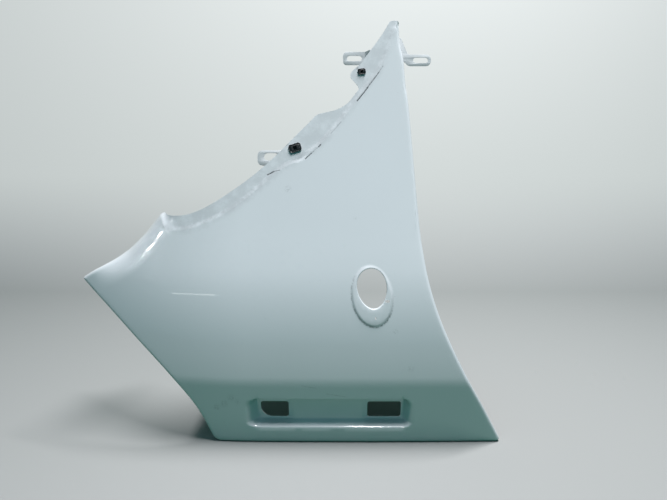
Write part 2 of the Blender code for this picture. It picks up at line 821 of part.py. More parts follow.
def make_mid_bracket(paint):
    half_leg = mid_leg_width / 2.0
    top = mid_ear_rise + mid_ear_height / 2.0
    bottom = mid_ear_rise - mid_ear_height / 2.0
    outline = rounded([
        (Vector((-mid_ear_reach, top)), mid_ear_radius),
        (Vector((-mid_ear_reach, bottom)), mid_ear_radius),
        (Vector((-half_leg, bottom)), bracket_corner),
        (Vector((-half_leg, -mid_foot_length / 2.0)), bracket_corner),
        (Vector((half_leg, -mid_foot_length / 2.0)), bracket_corner),
        (Vector((half_leg, top)), bracket_corner),
    ])
    lines = []
    for step in range(joggle_steps + 1):
        up = mid_ramp_start + mid_ramp_run * step / joggle_steps
        row = [Vector((-half_leg + trace_spacing, up)), Vector((half_leg - trace_spacing, up))]
        lines.append(resampled(row, detail_spacing))

    def depth_at(place):
        return mid_ear_offset * smoothstep((place.y - mid_ramp_start) / mid_ramp_run)

    bracket, frame = pressed_bracket("mid_bracket", outline, lines, depth_at,
                                     mid_bracket_thickness, mid_bracket_place_shares, paint)
    centre = Vector((-mid_ear_reach + mid_slot_margin + mid_slot_length / 2.0, mid_ear_rise + mid_slot_offset))
    opening = slot_outline(centre, mid_slot_length, mid_slot_width)
    cut(bracket, prism("mid ear slot", opening, frame, 0.0, cutter_reach))
    return bracket


def block(name, size, centre, frame, collection, material=None):
    """A box primitive, sized in its mesh and set in a frame."""
    mesh = bpy.data.meshes.new(name)
    shape = bmesh.new()
    bmesh.ops.create_cube(shape, size=1.0, matrix=Matrix.Translation(centre) @ Matrix.Diagonal(size).to_4x4())
    shape.to_mesh(mesh)
    shape.free()
    made = bpy.data.objects.new(name, mesh)
    collection.objects.link(made)
    place_in(made, frame, datum)
    if material:
        mesh.materials.append(material)
    return made


def make_grommet(name, shares, length, width, tilt, plastic):
    """A screw grommet: a rimmed head outside the strip and a shank through its square hole."""
    frame = skin_frame(shares) @ Matrix.Rotation(-tilt, 4, "Y")
    head_middle = -fit_gap - grommet_head_height / 2.0
    head = block(name, Vector((length, grommet_head_height, width)), Vector((0.0, head_middle, 0.0)),
                 frame, fender_collection, plastic)
    shank_size = Vector((length - 2.0 * grommet_rim, grommet_shank_depth, width - 2.0 * grommet_rim))
    shank_middle = head_middle + grommet_shank_depth / 2.0
    shank = block(name + " shank", shank_size, Vector((0.0, shank_middle, 0.0)), frame, cutter_collection)
    shank.hide_render = True
    shank.display_type = "WIRE"
    rounding = head.modifiers.new("soft edges", "BEVEL")
    rounding.width = grommet_edge
    rounding.segments = 2
    join = head.modifiers.new("shank", "BOOLEAN")
    join.operation = "UNION"
    join.object = shank
    bore = grommet_bore_share * shank_size.z / 2.0
    ring = oval(Vector((0.0, 0.0)), bore, bore, 0.0, bore_sides)
    bore_end = shank_middle + grommet_shank_depth / 2.0 - grommet_edge
    cut(head, prism(name + " bore", ring, frame, head_middle - grommet_head_height, bore_end))
    smooth_shade(head, smooth_angle)
    return head


def mount_point():
    """The inboard face of the upper bracket's front ear, between its slot and its end."""
    frame = skin_frame(upper_bracket_place_shares, sheet_thickness + fit_gap)
    depth = upper_ear_offset + upper_bracket_thickness
    return frame @ Vector((-front_ear_reach + front_slot_margin / 2.0, depth, front_ear_rise))


for old in list(bpy.data.objects):
    bpy.data.objects.remove(old)
fender_collection = bpy.data.collections.new("car_fender")
cutter_collection = bpy.data.collections.new("cutters")
bpy.context.scene.collection.children.link(fender_collection)
bpy.context.scene.collection.children.link(cutter_collection)
datum = bpy.data.objects.new("fender_datum", None)
fender_collection.objects.link(datum)
datum.location = -mount_point()

white_paint = painted_steel()
black_plastic = surface("black plastic", (0.012, 0.013, 0.014, 1.0), 0.45, 0.0)
make_panel(white_paint)
make_upper_bracket(white_paint)
make_mid_bracket(white_paint)
make_grommet("screw_grommet_lower", lower_grommet_place_shares, lower_grommet_length,
             lower_grommet_width, lower_grommet_tilt, black_plastic)
make_grommet("screw_grommet_upper", upper_grommet_place_shares, upper_grommet_length,
             upper_grommet_width, upper_grommet_tilt, black_plastic)
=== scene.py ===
"""Car fender: the looks of a left front corner panel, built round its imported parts.

Lengths are in metres. The panel is laid out flat, from its front corner and its bottom
line, and then pressed. Depths run inboard. The finished pieces are moved so that the
upper bracket's front ear sits on the origin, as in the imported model.
"""
import math

import bmesh
import bpy
import numpy as np
from mathutils import Matrix, Quaternion, Vector
from mathutils.geometry import delaunay_2d_cdt, interpolate_bezier
from mathutils.kdtree import KDTree


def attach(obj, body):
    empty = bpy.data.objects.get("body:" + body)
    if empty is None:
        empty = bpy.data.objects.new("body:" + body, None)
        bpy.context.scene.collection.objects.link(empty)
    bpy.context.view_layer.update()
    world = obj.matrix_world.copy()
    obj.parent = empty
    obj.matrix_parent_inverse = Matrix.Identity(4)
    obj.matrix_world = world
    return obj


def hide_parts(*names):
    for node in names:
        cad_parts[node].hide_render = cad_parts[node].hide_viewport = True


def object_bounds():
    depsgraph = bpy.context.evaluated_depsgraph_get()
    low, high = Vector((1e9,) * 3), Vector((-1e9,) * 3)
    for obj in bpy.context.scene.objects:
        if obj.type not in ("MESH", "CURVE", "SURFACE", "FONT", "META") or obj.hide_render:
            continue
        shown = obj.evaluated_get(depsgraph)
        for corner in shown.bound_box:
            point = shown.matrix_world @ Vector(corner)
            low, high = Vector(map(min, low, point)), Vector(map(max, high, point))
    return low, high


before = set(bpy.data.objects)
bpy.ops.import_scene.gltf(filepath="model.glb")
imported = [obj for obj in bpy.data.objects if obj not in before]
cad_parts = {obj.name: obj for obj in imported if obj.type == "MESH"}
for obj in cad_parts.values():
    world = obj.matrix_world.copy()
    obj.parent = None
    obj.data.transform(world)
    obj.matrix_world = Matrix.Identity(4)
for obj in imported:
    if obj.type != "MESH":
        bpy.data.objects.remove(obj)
bpy.ops.object.select_all(action="DESELECT")
packed_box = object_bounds()
scene = bpy.context.scene

# Driving dimensions, as in the part's source
panel_length = 0.664
panel_height = 0.640
sheet_thickness = 0.0008
belt_height = 0.103
belt_rise = 0.165
belt_blend = 0.008
tuck_angle = math.radians(9.0)
waist_angle = math.radians(3.0)
upper_angle = math.radians(19.0)
ease_height = 0.300
tip_angle = math.radians(9.0)
crown_radius = 8.0
crown_place_share = 0.667
nose_radius = 0.560
nose_place_share = 0.403
edge_radius = 0.005
edge_arc_steps = 7
rear_flange_depth = 0.014
bottom_flange_depth = 0.018
front_flange_depth = 0.012
nose_flange_depth = 0.009
tip_flange_depth = 0.006
flange_blend = 0.030
nose_roll_radius = 0.040
nose_roll_width = 0.034
nose_roll_start_share = 0.12
nose_roll_full_share = 0.55
joggle_depth = 0.0010
joggle_run = 0.0075
joggle_fade = 0.018

# Lamp seat, lamp hole and pocket
lamp_place_shares = (0.6931, 0.3620)
lamp_tilt = math.radians(9.0)
lamp_seat_half_width = 0.0318
lamp_seat_half_height = 0.0461
lamp_seat_rise = 0.0014
lamp_seat_wall_run = 0.0045
# Width of the dark line painted as shade along the lamp seat's edge
seat_shade_line_width = 0.0009
lamp_hole_half_width = 0.0219
lamp_hole_half_height = 0.0290
lamp_hole_rise = 0.0113
lamp_hole_point_share = 0.10
lamp_notch_width = 0.0065
lamp_notch_height = 0.0036
lamp_notch_angle = math.radians(-40.0)
lamp_slit_width = 0.0016
lamp_slit_height = 0.0042
lamp_slit_drop = 0.0315
lamp_lip_radius = 0.0016
pocket_place_shares = (0.5956, 0.0787)
pocket_length = 0.256
pocket_height = 0.052
pocket_depth = 0.016
pocket_top_run = 0.004
pocket_bottom_run = 0.010
pocket_corner_ease = 0.016
pocket_front_run = 0.0225
pocket_rear_run = 0.0165
front_window_length = 0.0430
rear_window_length = 0.0520
window_height = 0.0270
window_above_foot = 0.0012
window_corner = 0.0035
front_window_corner = 0.0175
window_lip_run = 0.010
window_lip_depth = 0.003

# Upper bracket and mid bracket, each in its own plane from its weld spot
upper_bracket_place_shares = (0.7020, 0.9042)
bracket_thickness = 0.0016
bracket_edge_angle = math.radians(40.0)
ear_offset = 0.012
upper_weld_width = 0.014
upper_ramp_run = 0.009
front_ear_reach = 0.0488
front_ear_height = 0.0200
front_ear_rise = 0.0050
rear_ear_reach = 0.0868
rear_ear_height = 0.0175
rear_ear_rise = 0.0022
ear_end_radius = 0.0055
rear_ear_radius = 0.0075
ear_slot_length = 0.0230
ear_slot_width = 0.0085
front_slot_margin = 0.0060
rear_slot_margin = 0.0045
web_foot_reach = 0.051
web_top_reach = 0.0405
web_top_width = 0.0045
web_height = 0.0366
web_back_reach = 0.030
neck_start = 0.020
neck_reach = 0.044
neck_rise = 0.008
neck_run = 0.008
bracket_corner = 0.003
mid_bracket_place_shares = (0.4860, 0.6062)
mid_foot_length = 0.020
mid_leg_width = 0.022
mid_ramp_run = 0.014
mid_ramp_start = 0.010
mid_ear_reach = 0.0376
mid_ear_rise = 0.0490
mid_ear_height = 0.0236
mid_ear_radius = 0.008
mid_slot_length = 0.022
mid_slot_width = 0.012
mid_slot_offset = 0.0018
mid_slot_margin = 0.0100

# Screw grommets
lower_grommet_place_shares = (0.5180, 0.6981)
lower_grommet_size = (0.0192, 0.0130)
lower_grommet_tilt = math.radians(18.0)
lower_pad_radius = 0.017
lower_pad_run = 0.005
upper_grommet_place_shares = (0.6709, 0.8760)
upper_grommet_size = (0.0120, 0.0086)
upper_grommet_tilt = math.radians(9.0)
lower_grommet = (lower_grommet_place_shares, lower_grommet_size, lower_grommet_tilt)
upper_grommet = (upper_grommet_place_shares, upper_grommet_size, upper_grommet_tilt)
grommet_head_height = 0.0018
grommet_rim = 0.0018
grommet_shank_depth = 0.009
grommet_bore_depth = 0.0060
grommet_face_steps = ((0.07, 0.0), (0.03, -0.0006), (0.08, 0.0), (0.03, 0.0005), (0.08, 0.0))
grommet_corner_share = 0.2
shank_straight_share = 0.62
shank_end_share = 0.82
grommet_edge = 0.0008
grommet_edge_angle = math.radians(30.0)
square_on = 0.9
fit_gap = 0.0003

# Dust and painted shade in the folds and round the lamp seat: how narrow it lies, and how much of it
ring_pitch = 2.2
ring_sharpness = 2.0
ring_least = 0.35
fold_pitch = 1.6
strip_dust_and_shade = 0.50

# Mesh spacings, rows of points and the room round them
skin_spacing = 0.0055
edge_spacing = 0.0030
detail_spacing = 0.0024
rim_spacing = 0.0012
trace_spacing = 0.0015
touching = 0.00001
joggle_rows = 9
lamp_lip_rows = 4
lamp_wall_rows = 4
pad_rows = 5
belt_rows = 3
pocket_bottom_rows = 10
pocket_top_rows = 7
pocket_floor_rows = 9
bend_rows = 8
roll_clearance = detail_spacing * 0.7
ring_clearance = rim_spacing * 0.6
belt_clearance = detail_spacing * 0.8
fill_clearance_share = 0.6
smooth_angle = math.radians(35.0)

# Outline runs, clockwise from the tip as seen from outside, as shares of length and height
rear_edge_shares = (
    (0.7557, 0.9940), (0.7588, 0.9446), (0.7670, 0.9029), (0.7727, 0.8419), (0.7783, 0.8052),
    (0.7866, 0.7120), (0.7950, 0.6057), (0.8014, 0.5285), (0.8075, 0.4745), (0.8237, 0.3856),
    (0.8523, 0.2955), (0.9032, 0.1830), (0.9470, 0.1010), (1.0, -0.0034),
)
bottom_edge_shares = ((1.0, -0.0034), (0.3275, -0.0034))
front_edge_shares = (
    (0.3275, -0.0034), (0.2980, 0.0690), (0.2733, 0.1121), (0.2272, 0.1723), (0.1570, 0.2421),
    (0.0826, 0.3091), (0.0, 0.3753),
)
nose_edge_shares = (
    (0.0, 0.3753), (0.0273, 0.3935), (0.0805, 0.4230), (0.1100, 0.4430), (0.1270, 0.4570),
    (0.1462, 0.4760), (0.1628, 0.4933), (0.1764, 0.5110), (0.1896, 0.5275), (0.1980, 0.5372),
    (0.2095, 0.5415),
)
strip_edge_shares = (
    (0.2095, 0.5415), (0.2240, 0.5380), (0.2497, 0.5393), (0.2772, 0.5449), (0.3174, 0.5627),
    (0.3702, 0.5963), (0.4222, 0.6345), (0.4692, 0.6756), (0.5287, 0.7358), (0.5526, 0.7594),
    (0.5678, 0.7749), (0.5879, 0.7808), (0.6118, 0.7869), (0.6303, 0.7963), (0.6494, 0.8119),
    (0.6596, 0.8258), (0.6641, 0.8376), (0.6555, 0.8503), (0.6453, 0.8627), (0.6466, 0.8733),
    (0.6570, 0.8844), (0.6695, 0.8947), (0.6790, 0.9088), (0.6929, 0.9278), (0.7070, 0.9467),
    (0.7221, 0.9692), (0.7362, 0.9940),
)
tip_edge_shares = ((0.7362, 0.9940), (0.7557, 0.9940))
joggle_line_shares = (
    (0.2173, 0.5078), (0.2400, 0.5045), (0.2848, 0.5114), (0.3450, 0.5375), (0.3973, 0.5718),
    (0.4493, 0.6146), (0.4834, 0.6445), (0.5291, 0.6706), (0.5749, 0.7047), (0.6141, 0.7466),
    (0.6596, 0.8075), (0.7084, 0.8727), (0.7314, 0.9216), (0.7451, 0.9654),
)
tip_corner_cut = 0.003
rear_corner_cut = 0.008
bottom_corner_cut = 0.009
front_corner_cut = 0.0035
peak_corner_cut = 0.0025
corner_steps = 7
corner_handle_share = 0.6
round_handle_share = 0.55


def on_panel(pair):
    return Vector((pair[0] * panel_length, pair[1] * panel_height))


def smoothstep(value):
    value = np.clip(value, 0.0, 1.0)
    return value * value * (3.0 - 2.0 * value)


# Lines on the flat panel

def resampled(points, spacing):
    """The same polyline with evenly spaced points."""
    lengths = [(b - a).length for a, b in zip(points, points[1:])]
    total = sum(lengths)
    count = max(1, round(total / spacing))
    result = [points[0]]
    index = 0
    passed = 0.0
    for step in range(1, count):
        target = total * step / count
        while passed + lengths[index] < target:
            passed += lengths[index]
            index += 1
        result.append(points[index].lerp(points[index + 1], (target - passed) / lengths[index]))
    result.append(points[-1])
    return result


def level_row(start, end, height, spacing):
    return resampled([Vector((start, height)), Vector((end, height))], spacing)


def smooth_run(shares):
    """A smooth curve through the places, as a fine polyline."""
    places = [on_panel(pair) for pair in shares]
    padded = [places[0] * 2.0 - places[1]] + places + [places[-1] * 2.0 - places[-2]]
    fine = [places[0]]
    for before, start, end, after in zip(padded, padded[1:], padded[2:], padded[3:]):
        reach = (end - start).length
        leave = (end - before) * (reach / (end - before).length)
        arrive = (after - start) * (reach / (after - start).length)
        steps = max(2, math.ceil(reach / trace_spacing))
        points = interpolate_bezier(start, start + leave / 3.0, end - arrive / 3.0, end, steps)
        fine.extend(point.to_2d() for point in points[1:])
    return resampled(fine, trace_spacing)


def trimmed(points, start_cut, end_cut):
    """The polyline with a length taken off each end."""
    total = sum((b - a).length for a, b in zip(points, points[1:]))
    kept = []
    passed = 0.0
    for index, point in enumerate(points):
        if index:
            passed += (point - points[index - 1]).length
        if start_cut <= passed <= total - end_cut:
            kept.append(point)
    return kept


def corner_arc(before, corner, after):
    first = before.lerp(corner, corner_handle_share)
    second = after.lerp(corner, corner_handle_share)
    arc = interpolate_bezier(before, first, second, after, corner_steps + 1)
    return [point.to_2d() for point in arc[1:-1]]


def offset_line(line, distance):
    """The polyline moved to its left."""
    moved = []
    for index, point in enumerate(line):
        along = (line[min(index + 1, len(line) - 1)] - line[max(index - 1, 0)]).normalized()
        moved.append(point + Vector((-along.y, along.x)) * distance)
    return moved


def oval(centre, half_width, half_height, tilt, count, point_share=0.0):
    """A tilted oval, which a point share draws in towards its lower end."""
    points = []
    for step in range(count):
        angle = math.tau * step / count
        across = half_width * math.cos(angle) * (1.0 + point_share * math.sin(angle))
        points.append(centre + Matrix.Rotation(tilt, 2) @ Vector((across, half_height * math.sin(angle))))
    return points


def rounded(corners):
    """A closed outline from corners with a place and a radius each, rounded."""
    places = [Vector((across, up)) for across, up, _ in corners]
    outline = []
    for index, (_, _, radius) in enumerate(corners):
        corner = places[index]
        start = corner + (places[index - 1] - corner).normalized() * radius
        end = corner + (places[(index + 1) % len(places)] - corner).normalized() * radius
        first = start.lerp(corner, round_handle_share)
        second = end.lerp(corner, round_handle_share)
        arc = interpolate_bezier(start, first, second, end, corner_steps + 1)
        outline.extend(point.to_2d() for point in arc)
    return outline


def rectangle(centre, width, height, radius, tilt=0.0):
    corners = []
    for side, end in ((-1, -1), (1, -1), (1, 1), (-1, 1)):
        offset = Vector((side * width / 2.0, end * height / 2.0))
        corners.append((*(centre + Matrix.Rotation(tilt, 2) @ offset), radius))
    return rounded(corners)


def closed(points):
    return list(points) + [points[0]]


def nearest_on(line, places):
    """For each place: distance to the polyline, share of its length there, side, and the line's length."""
    corners = np.array([tuple(point) for point in line])
    steps = corners[1:] - corners[:-1]
    lengths = np.hypot(steps[:, 0], steps[:, 1])
    passed = np.concatenate(([0.0], np.cumsum(lengths)))
    best = np.full(len(places), np.inf)
    along_best = np.zeros(len(places))
    side = np.ones(len(places))
    for corner, step, length, before in zip(corners, steps, lengths, passed):
        away = places - corner
        along = np.clip(away @ step / length ** 2, 0.0, 1.0)
        gap = away - along[:, None] * step
        distance = np.hypot(gap[:, 0], gap[:, 1])
        nearer = distance < best
        best = np.where(nearer, distance, best)
        along_best = np.where(nearer, before + along * length, along_best)
        turn = step[0] * gap[:, 1] - step[1] * gap[:, 0]
        side = np.where(nearer, np.where(turn > 0.0, 1.0, -1.0), side)
    return best, along_best / passed[-1], side, passed[-1]


def inside(loop, places):
    """Which places a closed outline holds."""
    crossed = np.zeros(len(places), bool)
    for (x0, z0), (x1, z1) in zip(loop, loop[1:] + loop[:1]):
        if z0 == z1:
            continue
        spans = (places[:, 1] > min(z0, z1)) & (places[:, 1] <= max(z0, z1))
        crossing = x0 + (places[:, 1] - z0) * (x1 - x0) / (z1 - z0)
        crossed ^= spans & (places[:, 0] < crossing)
    return crossed


rear_run = smooth_run(rear_edge_shares)
bottom_run = smooth_run(bottom_edge_shares)
front_run = smooth_run(front_edge_shares)
nose_run = smooth_run(nose_edge_shares)
strip_run = smooth_run(strip_edge_shares)
tip_run = smooth_run(tip_edge_shares)
joggle_line = resampled(smooth_run(joggle_line_shares), edge_spacing)


def panel_outline():
    """The flanged chain from the tip round to the peak, and the raw edge back to the tip."""
    runs = (rear_run, bottom_run, front_run, nose_run, strip_run, tip_run)
    cuts = (rear_corner_cut, bottom_corner_cut, front_corner_cut,
            peak_corner_cut, tip_corner_cut, tip_corner_cut)
    pieces = []
    for index, run in enumerate(runs):
        pieces.append(resampled(trimmed(run, cuts[index - 1], cuts[index]), edge_spacing))
    arcs = []
    for index, run in enumerate(runs):
        following = pieces[(index + 1) % len(pieces)]
        arcs.append(corner_arc(pieces[index][-1], run[-1], following[0]))
    chain = list(pieces[0])
    for index in range(1, 4):
        chain += arcs[index - 1] + pieces[index]
    raw = arcs[3] + pieces[4] + arcs[4] + pieces[5] + arcs[5]
    return chain, raw


# Form of the pressing: depth inboard at each place

def hinge(distance, blend):
    """Zero before a fold line and the distance past it after, rounded over the blend."""
    rising = (distance + blend) ** 2 / (4.0 * blend)
    return np.where(distance <= -blend, 0.0, np.where(distance >= blend, distance, rising))


def body_depth(places):
    x, z = places[:, 0], places[:, 1]
    above = z - belt_height
    depth = math.tan(tuck_angle) * hinge(-above, belt_blend)
    depth += math.tan(waist_angle) * hinge(above, belt_blend)
    gain = math.tan(upper_angle) - math.tan(waist_angle)
    lower = np.clip(above, 0.0, None) ** 2 / (2.0 * belt_rise)
    depth += gain * np.where(above > belt_rise, above - belt_rise / 2.0, lower)
    eased = np.clip(z - ease_height, 0.0, None) ** 2 / (2.0 * (panel_height - ease_height))
    depth -= (math.tan(upper_angle) - math.tan(tip_angle)) * eased
    depth += (x - crown_place_share * panel_length) ** 2 / (2.0 * crown_radius)
    ahead = np.clip(nose_place_share * panel_length - x, 0.0, None)
    return depth + ahead ** 2 / (2.0 * nose_radius)


def arc_drop(distance, radius, width):
    within = np.clip(width - distance, 0.0, None)
    return radius - np.sqrt(np.clip(radius ** 2 - within ** 2, 0.0, None))


def nose_roll(places):
    distance, share, _, _ = nearest_on(nose_run, places)
    span = nose_roll_full_share - nose_roll_start_share
    strength = smoothstep((share - nose_roll_start_share) / span)
    drop = strength * arc_drop(distance, nose_roll_radius, nose_roll_width)
    return np.where(distance < nose_roll_width, drop, 0.0)


def joggle(places):
    distance, share, side, length = nearest_on(joggle_line, places)
    step = smoothstep(distance * side / joggle_run) * smoothstep(share * length / joggle_fade)
    from_pad = np.hypot(*(places - np.array(on_panel(lower_grommet_place_shares))).T)
    pad = smoothstep((lower_pad_radius + lower_pad_run - from_pad) / lower_pad_run)
    return joggle_depth * np.maximum(step, pad)


def on_lamp_seat(places):
    """Each place across and up the lamp seat, as shares of its half sizes, and how far it is inset."""
    turn = np.array(Matrix.Rotation(-lamp_tilt, 2))
    local = (places - np.array(on_panel(lamp_place_shares))) @ turn.T
    across, up = local[:, 0] / lamp_seat_half_width, local[:, 1] / lamp_seat_half_height
    return across, up, (1.0 - np.hypot(across, up)) * lamp_seat_half_width


def lamp_seat(places):
    return -lamp_seat_rise * smoothstep(on_lamp_seat(places)[2] / lamp_seat_wall_run)


def pocket_frame():
    centre = on_panel(pocket_place_shares)
    front = centre.x - pocket_length / 2.0
    bottom = centre.y - pocket_height / 2.0
    return front, front + pocket_length, bottom, bottom + pocket_height


def windows():
    """Each window's front, rear, bottom and top."""
    front, rear, bottom, _ = pocket_frame()
    foot = bottom + pocket_bottom_run + window_above_foot
    top = foot + window_height
    first = front + pocket_front_run
    last = rear - pocket_rear_run
    return ((first, first + front_window_length, foot, top), (last - rear_window_length, last, foot, top))


def pocket(places):
    x, z = places[:, 0], places[:, 1]
    front, rear, bottom, top = pocket_frame()
    along = np.clip(np.minimum((x - front) / pocket_front_run, (rear - x) / pocket_rear_run), 0.0, 1.0)
    top_run = pocket_top_run + pocket_corner_ease * (1.0 - along)
    across = np.clip(np.minimum((z - bottom) / pocket_bottom_run, (top - z) / top_run), 0.0, 1.0)
    wall = smoothstep(1.0 - np.hypot(1.0 - along, 1.0 - across))
    first, last = windows()
    lip = np.maximum(smoothstep(1.0 - (x - first[1]) / window_lip_run),
                     smoothstep(1.0 - (last[0] - x) / window_lip_run))
    return (pocket_depth + window_lip_depth * lip) * wall


def lamp_hole():
    centre = on_panel(lamp_place_shares) + Vector((0.0, lamp_hole_rise))
    turns = round(math.pi * (lamp_hole_half_width + lamp_hole_half_height) / rim_spacing)
    return centre, oval(centre, lamp_hole_half_width, lamp_hole_half_height, lamp_tilt, turns,
                        lamp_hole_point_share)


def panel_depth(places, chain=None):
    depth = body_depth(places) + nose_roll(places) + joggle(places) + lamp_seat(places) + pocket(places)
    if chain is not None:
        depth = depth + arc_drop(nearest_on(chain, places)[0], edge_radius, edge_radius)
        hole = closed(lamp_hole()[1])
        depth = depth + arc_drop(nearest_on(hole, places)[0], lamp_lip_radius, lamp_lip_radius)
    return depth


def skin_frame(shares, extra_depth=0.0):
    """Axes on the pressed sheet at a place: across, inboard and up, with a depth past its face."""
    place = np.array([on_panel(shares)])
    step = edge_radius
    slope_x = (body_depth(place + (step, 0.0)) - body_depth(place - (step, 0.0)))[0] / (2.0 * step)
    slope_z = (body_depth(place + (0.0, step)) - body_depth(place - (0.0, step)))[0] / (2.0 * step)
    across = Vector((1.0, slope_x, 0.0)).normalized()
    up = Vector((0.0, slope_z, 1.0))
    inboard = up.cross(across).normalized()
    up = across.cross(inboard)
    base = Vector((place[0][0], panel_depth(place)[0], place[0][1])) + inboard * extra_depth
    return Matrix.Translation(base) @ Matrix((across, inboard, up)).transposed().to_4x4()


def upper_slot_centres():
    front = Vector((-front_ear_reach + front_slot_margin + ear_slot_length / 2.0, front_ear_rise))
    rear = Vector((rear_ear_reach - rear_slot_margin - ear_slot_length / 2.0, rear_ear_rise))
    return front, rear


# The origin is on the inboard face of the upper bracket's front ear
upper_frame = skin_frame(upper_bracket_place_shares, sheet_thickness + fit_gap)
ear_face = Vector((-front_ear_reach + front_slot_margin / 2.0, ear_offset + bracket_thickness,
                   front_ear_rise))
to_datum = Matrix.Translation(-(upper_frame @ ear_face))


# Modelling helpers

def take_up(piece):
    """Makes one piece the selected and active one."""
    bpy.ops.object.select_all(action="DESELECT")
    piece.select_set(True)
    bpy.context.view_layer.objects.active = piece


def edit(piece, kind="FACE"):
    """Opens a piece in edit mode with nothing selected, and hands out its editable shape."""
    take_up(piece)
    bpy.ops.object.mode_set(mode="EDIT")
    bpy.ops.mesh.select_mode(type=kind)
    return unpicked(piece)


def unpicked(piece):
    """Clears the selection in edit mode, and hands out the piece's editable shape."""
    bpy.ops.mesh.select_all(action="DESELECT")
    return bmesh.from_edit_mesh(piece.data)


def pick(piece, parts):
    """Selects the given verts, edges or faces of a piece in edit mode."""
    for part in parts:
        part.select_set(True)
    bmesh.update_edit_mesh(piece.data)


def draw_out(*step):
    """Extrudes what is selected in edit mode by a step."""
    bpy.ops.mesh.extrude_region_move(TRANSFORM_OT_translate={"value": step})


def done():
    bpy.ops.object.mode_set(mode="OBJECT")


def put_in_scene(name, data):
    thing = bpy.data.objects.new(name, data)
    scene.collection.objects.link(thing)
    return thing


def mesh_piece(name, vertices, faces):
    mesh = bpy.data.meshes.new(name)
    mesh.from_pydata(vertices, [], faces)
    mesh.update()
    return put_in_scene(name, mesh)


def apply_all(piece):
    take_up(piece)
    for modifier in list(piece.modifiers):
        bpy.ops.object.modifier_apply(modifier=modifier.name)


def give_thickness(piece, thickness, inner_slot=0):
    """Thickens an open sheet behind its modelled face."""
    modifier = piece.modifiers.new("sheet thickness", "SOLIDIFY")
    modifier.thickness = thickness
    modifier.offset = -1.0
    modifier.use_even_offset = True
    modifier.material_offset = inner_slot


def soften(piece, width, angle):
    """Rounds the edges that are sharper than an angle."""
    modifier = piece.modifiers.new("soft edges", "BEVEL")
    modifier.width = width
    modifier.segments = 2
    modifier.limit_method = "ANGLE"
    modifier.angle_limit = angle


def smooth(piece):
    take_up(piece)
    bpy.ops.object.shade_smooth_by_angle(angle=smooth_angle)


def finish_piece(piece, node, slot, *materials):
    """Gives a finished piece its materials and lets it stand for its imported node."""
    piece.data.materials.clear()
    for material in materials:
        piece.data.materials.append(material)
    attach(piece, "root")
    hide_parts(node)


# The panel

def grommet_hole(shares, size, tilt):
    """The square hole in the strip, laid out on the flat panel."""
    seat = skin_frame(shares)
    margin = 2.0 * (grommet_rim - fit_gap)
    opening = rectangle(Vector((0.0, 0.0)), size[0] - margin, size[1] - margin, grommet_edge, tilt)
    return [(seat @ Vector((point.x, 0.0, point.y))).xz for point in opening]


def panel_holes():
    """The rolled lamp hole, and the notch, windows, slit and grommet holes, as closed flat outlines."""
    centre, hole = lamp_hole()
    turn = Matrix.Rotation(lamp_tilt, 2)
    reach = Vector(((lamp_hole_half_width + lamp_notch_height) * math.cos(lamp_notch_angle),
                    (lamp_hole_half_height + lamp_notch_height) * math.sin(lamp_notch_angle)))
    notch = rectangle(centre + turn @ reach, lamp_notch_width, lamp_notch_height, grommet_edge)
    drop = on_panel(lamp_place_shares) + turn @ Vector((0.0, -lamp_slit_drop))
    slit = rectangle(drop, lamp_slit_width, lamp_slit_height, lamp_slit_width / 3.0)
    framed = []
    for number, (front, rear, bottom, top) in enumerate(windows()):
        low_radius = front_window_corner if number == 0 else window_corner
        framed.append(rounded([(front, top, window_corner), (front, bottom, low_radius),
                               (rear, bottom, window_corner), (rear, top, window_corner)]))
    return [hole], [notch] + framed + [slit, grommet_hole(*lower_grommet), grommet_hole(*upper_grommet)]


def pocket_rows():
    """Lines along the pocket, close together on its walls."""
    front, rear, bottom, top = pocket_frame()
    first, last = windows()
    walls = ((front, pocket_front_run), (rear, -pocket_rear_run), (first[1], window_lip_run),
             (last[0], -window_lip_run))
    columns = []
    for start, run in walls:
        count = round(abs(run) / detail_spacing)
        columns += [start + run * step / count for step in range(count + 1)]
    for start, end, spacing in ((first[1] + window_lip_run, last[0] - window_lip_run, edge_spacing * 2.0),
                                (*first[:2], edge_spacing), (*last[:2], edge_spacing)):
        columns += [place.x for place in level_row(start, end, bottom, spacing)]
    columns = sorted(set(round(x / touching) for x in columns))
    rows = []
    for start, run, count in ((bottom, pocket_bottom_run, pocket_bottom_rows),
                              (top, -pocket_top_run, pocket_top_rows)):
        rows += [start + run * step / count for step in range(count + 1)]
    foot, head = bottom + pocket_bottom_run, top - pocket_top_run
    rows += [foot + (head - foot) * step / pocket_floor_rows for step in range(1, pocket_floor_rows)]
    return [[Vector((x * touching, z)) for x in columns] for z in rows]


def panel_lines(chain):
    """Lines that the panel's triangles follow."""
    lines = []
    for step in range(1, edge_arc_steps + 1):
        turn = math.pi / 2.0 * step / edge_arc_steps
        lines.append(offset_line(chain, -edge_radius * (1.0 - math.cos(turn))))
    for step in range(-1, joggle_rows + 2):
        lines.append(offset_line(joggle_line, joggle_run * step / joggle_rows))
    lipped, plain = panel_holes()
    for loop in lipped + plain:
        lines.append(closed(loop))
    centre, _ = lamp_hole()
    turns = len(lipped[0])
    for step in range(1, lamp_lip_rows + 1):
        grown = lamp_lip_radius * (1.0 - math.cos(math.pi / 2.0 * step / lamp_lip_rows))
        lines.append(closed(oval(centre, lamp_hole_half_width + grown, lamp_hole_half_height + grown,
                                 lamp_tilt, turns, lamp_hole_point_share)))
    return lines + pocket_rows()


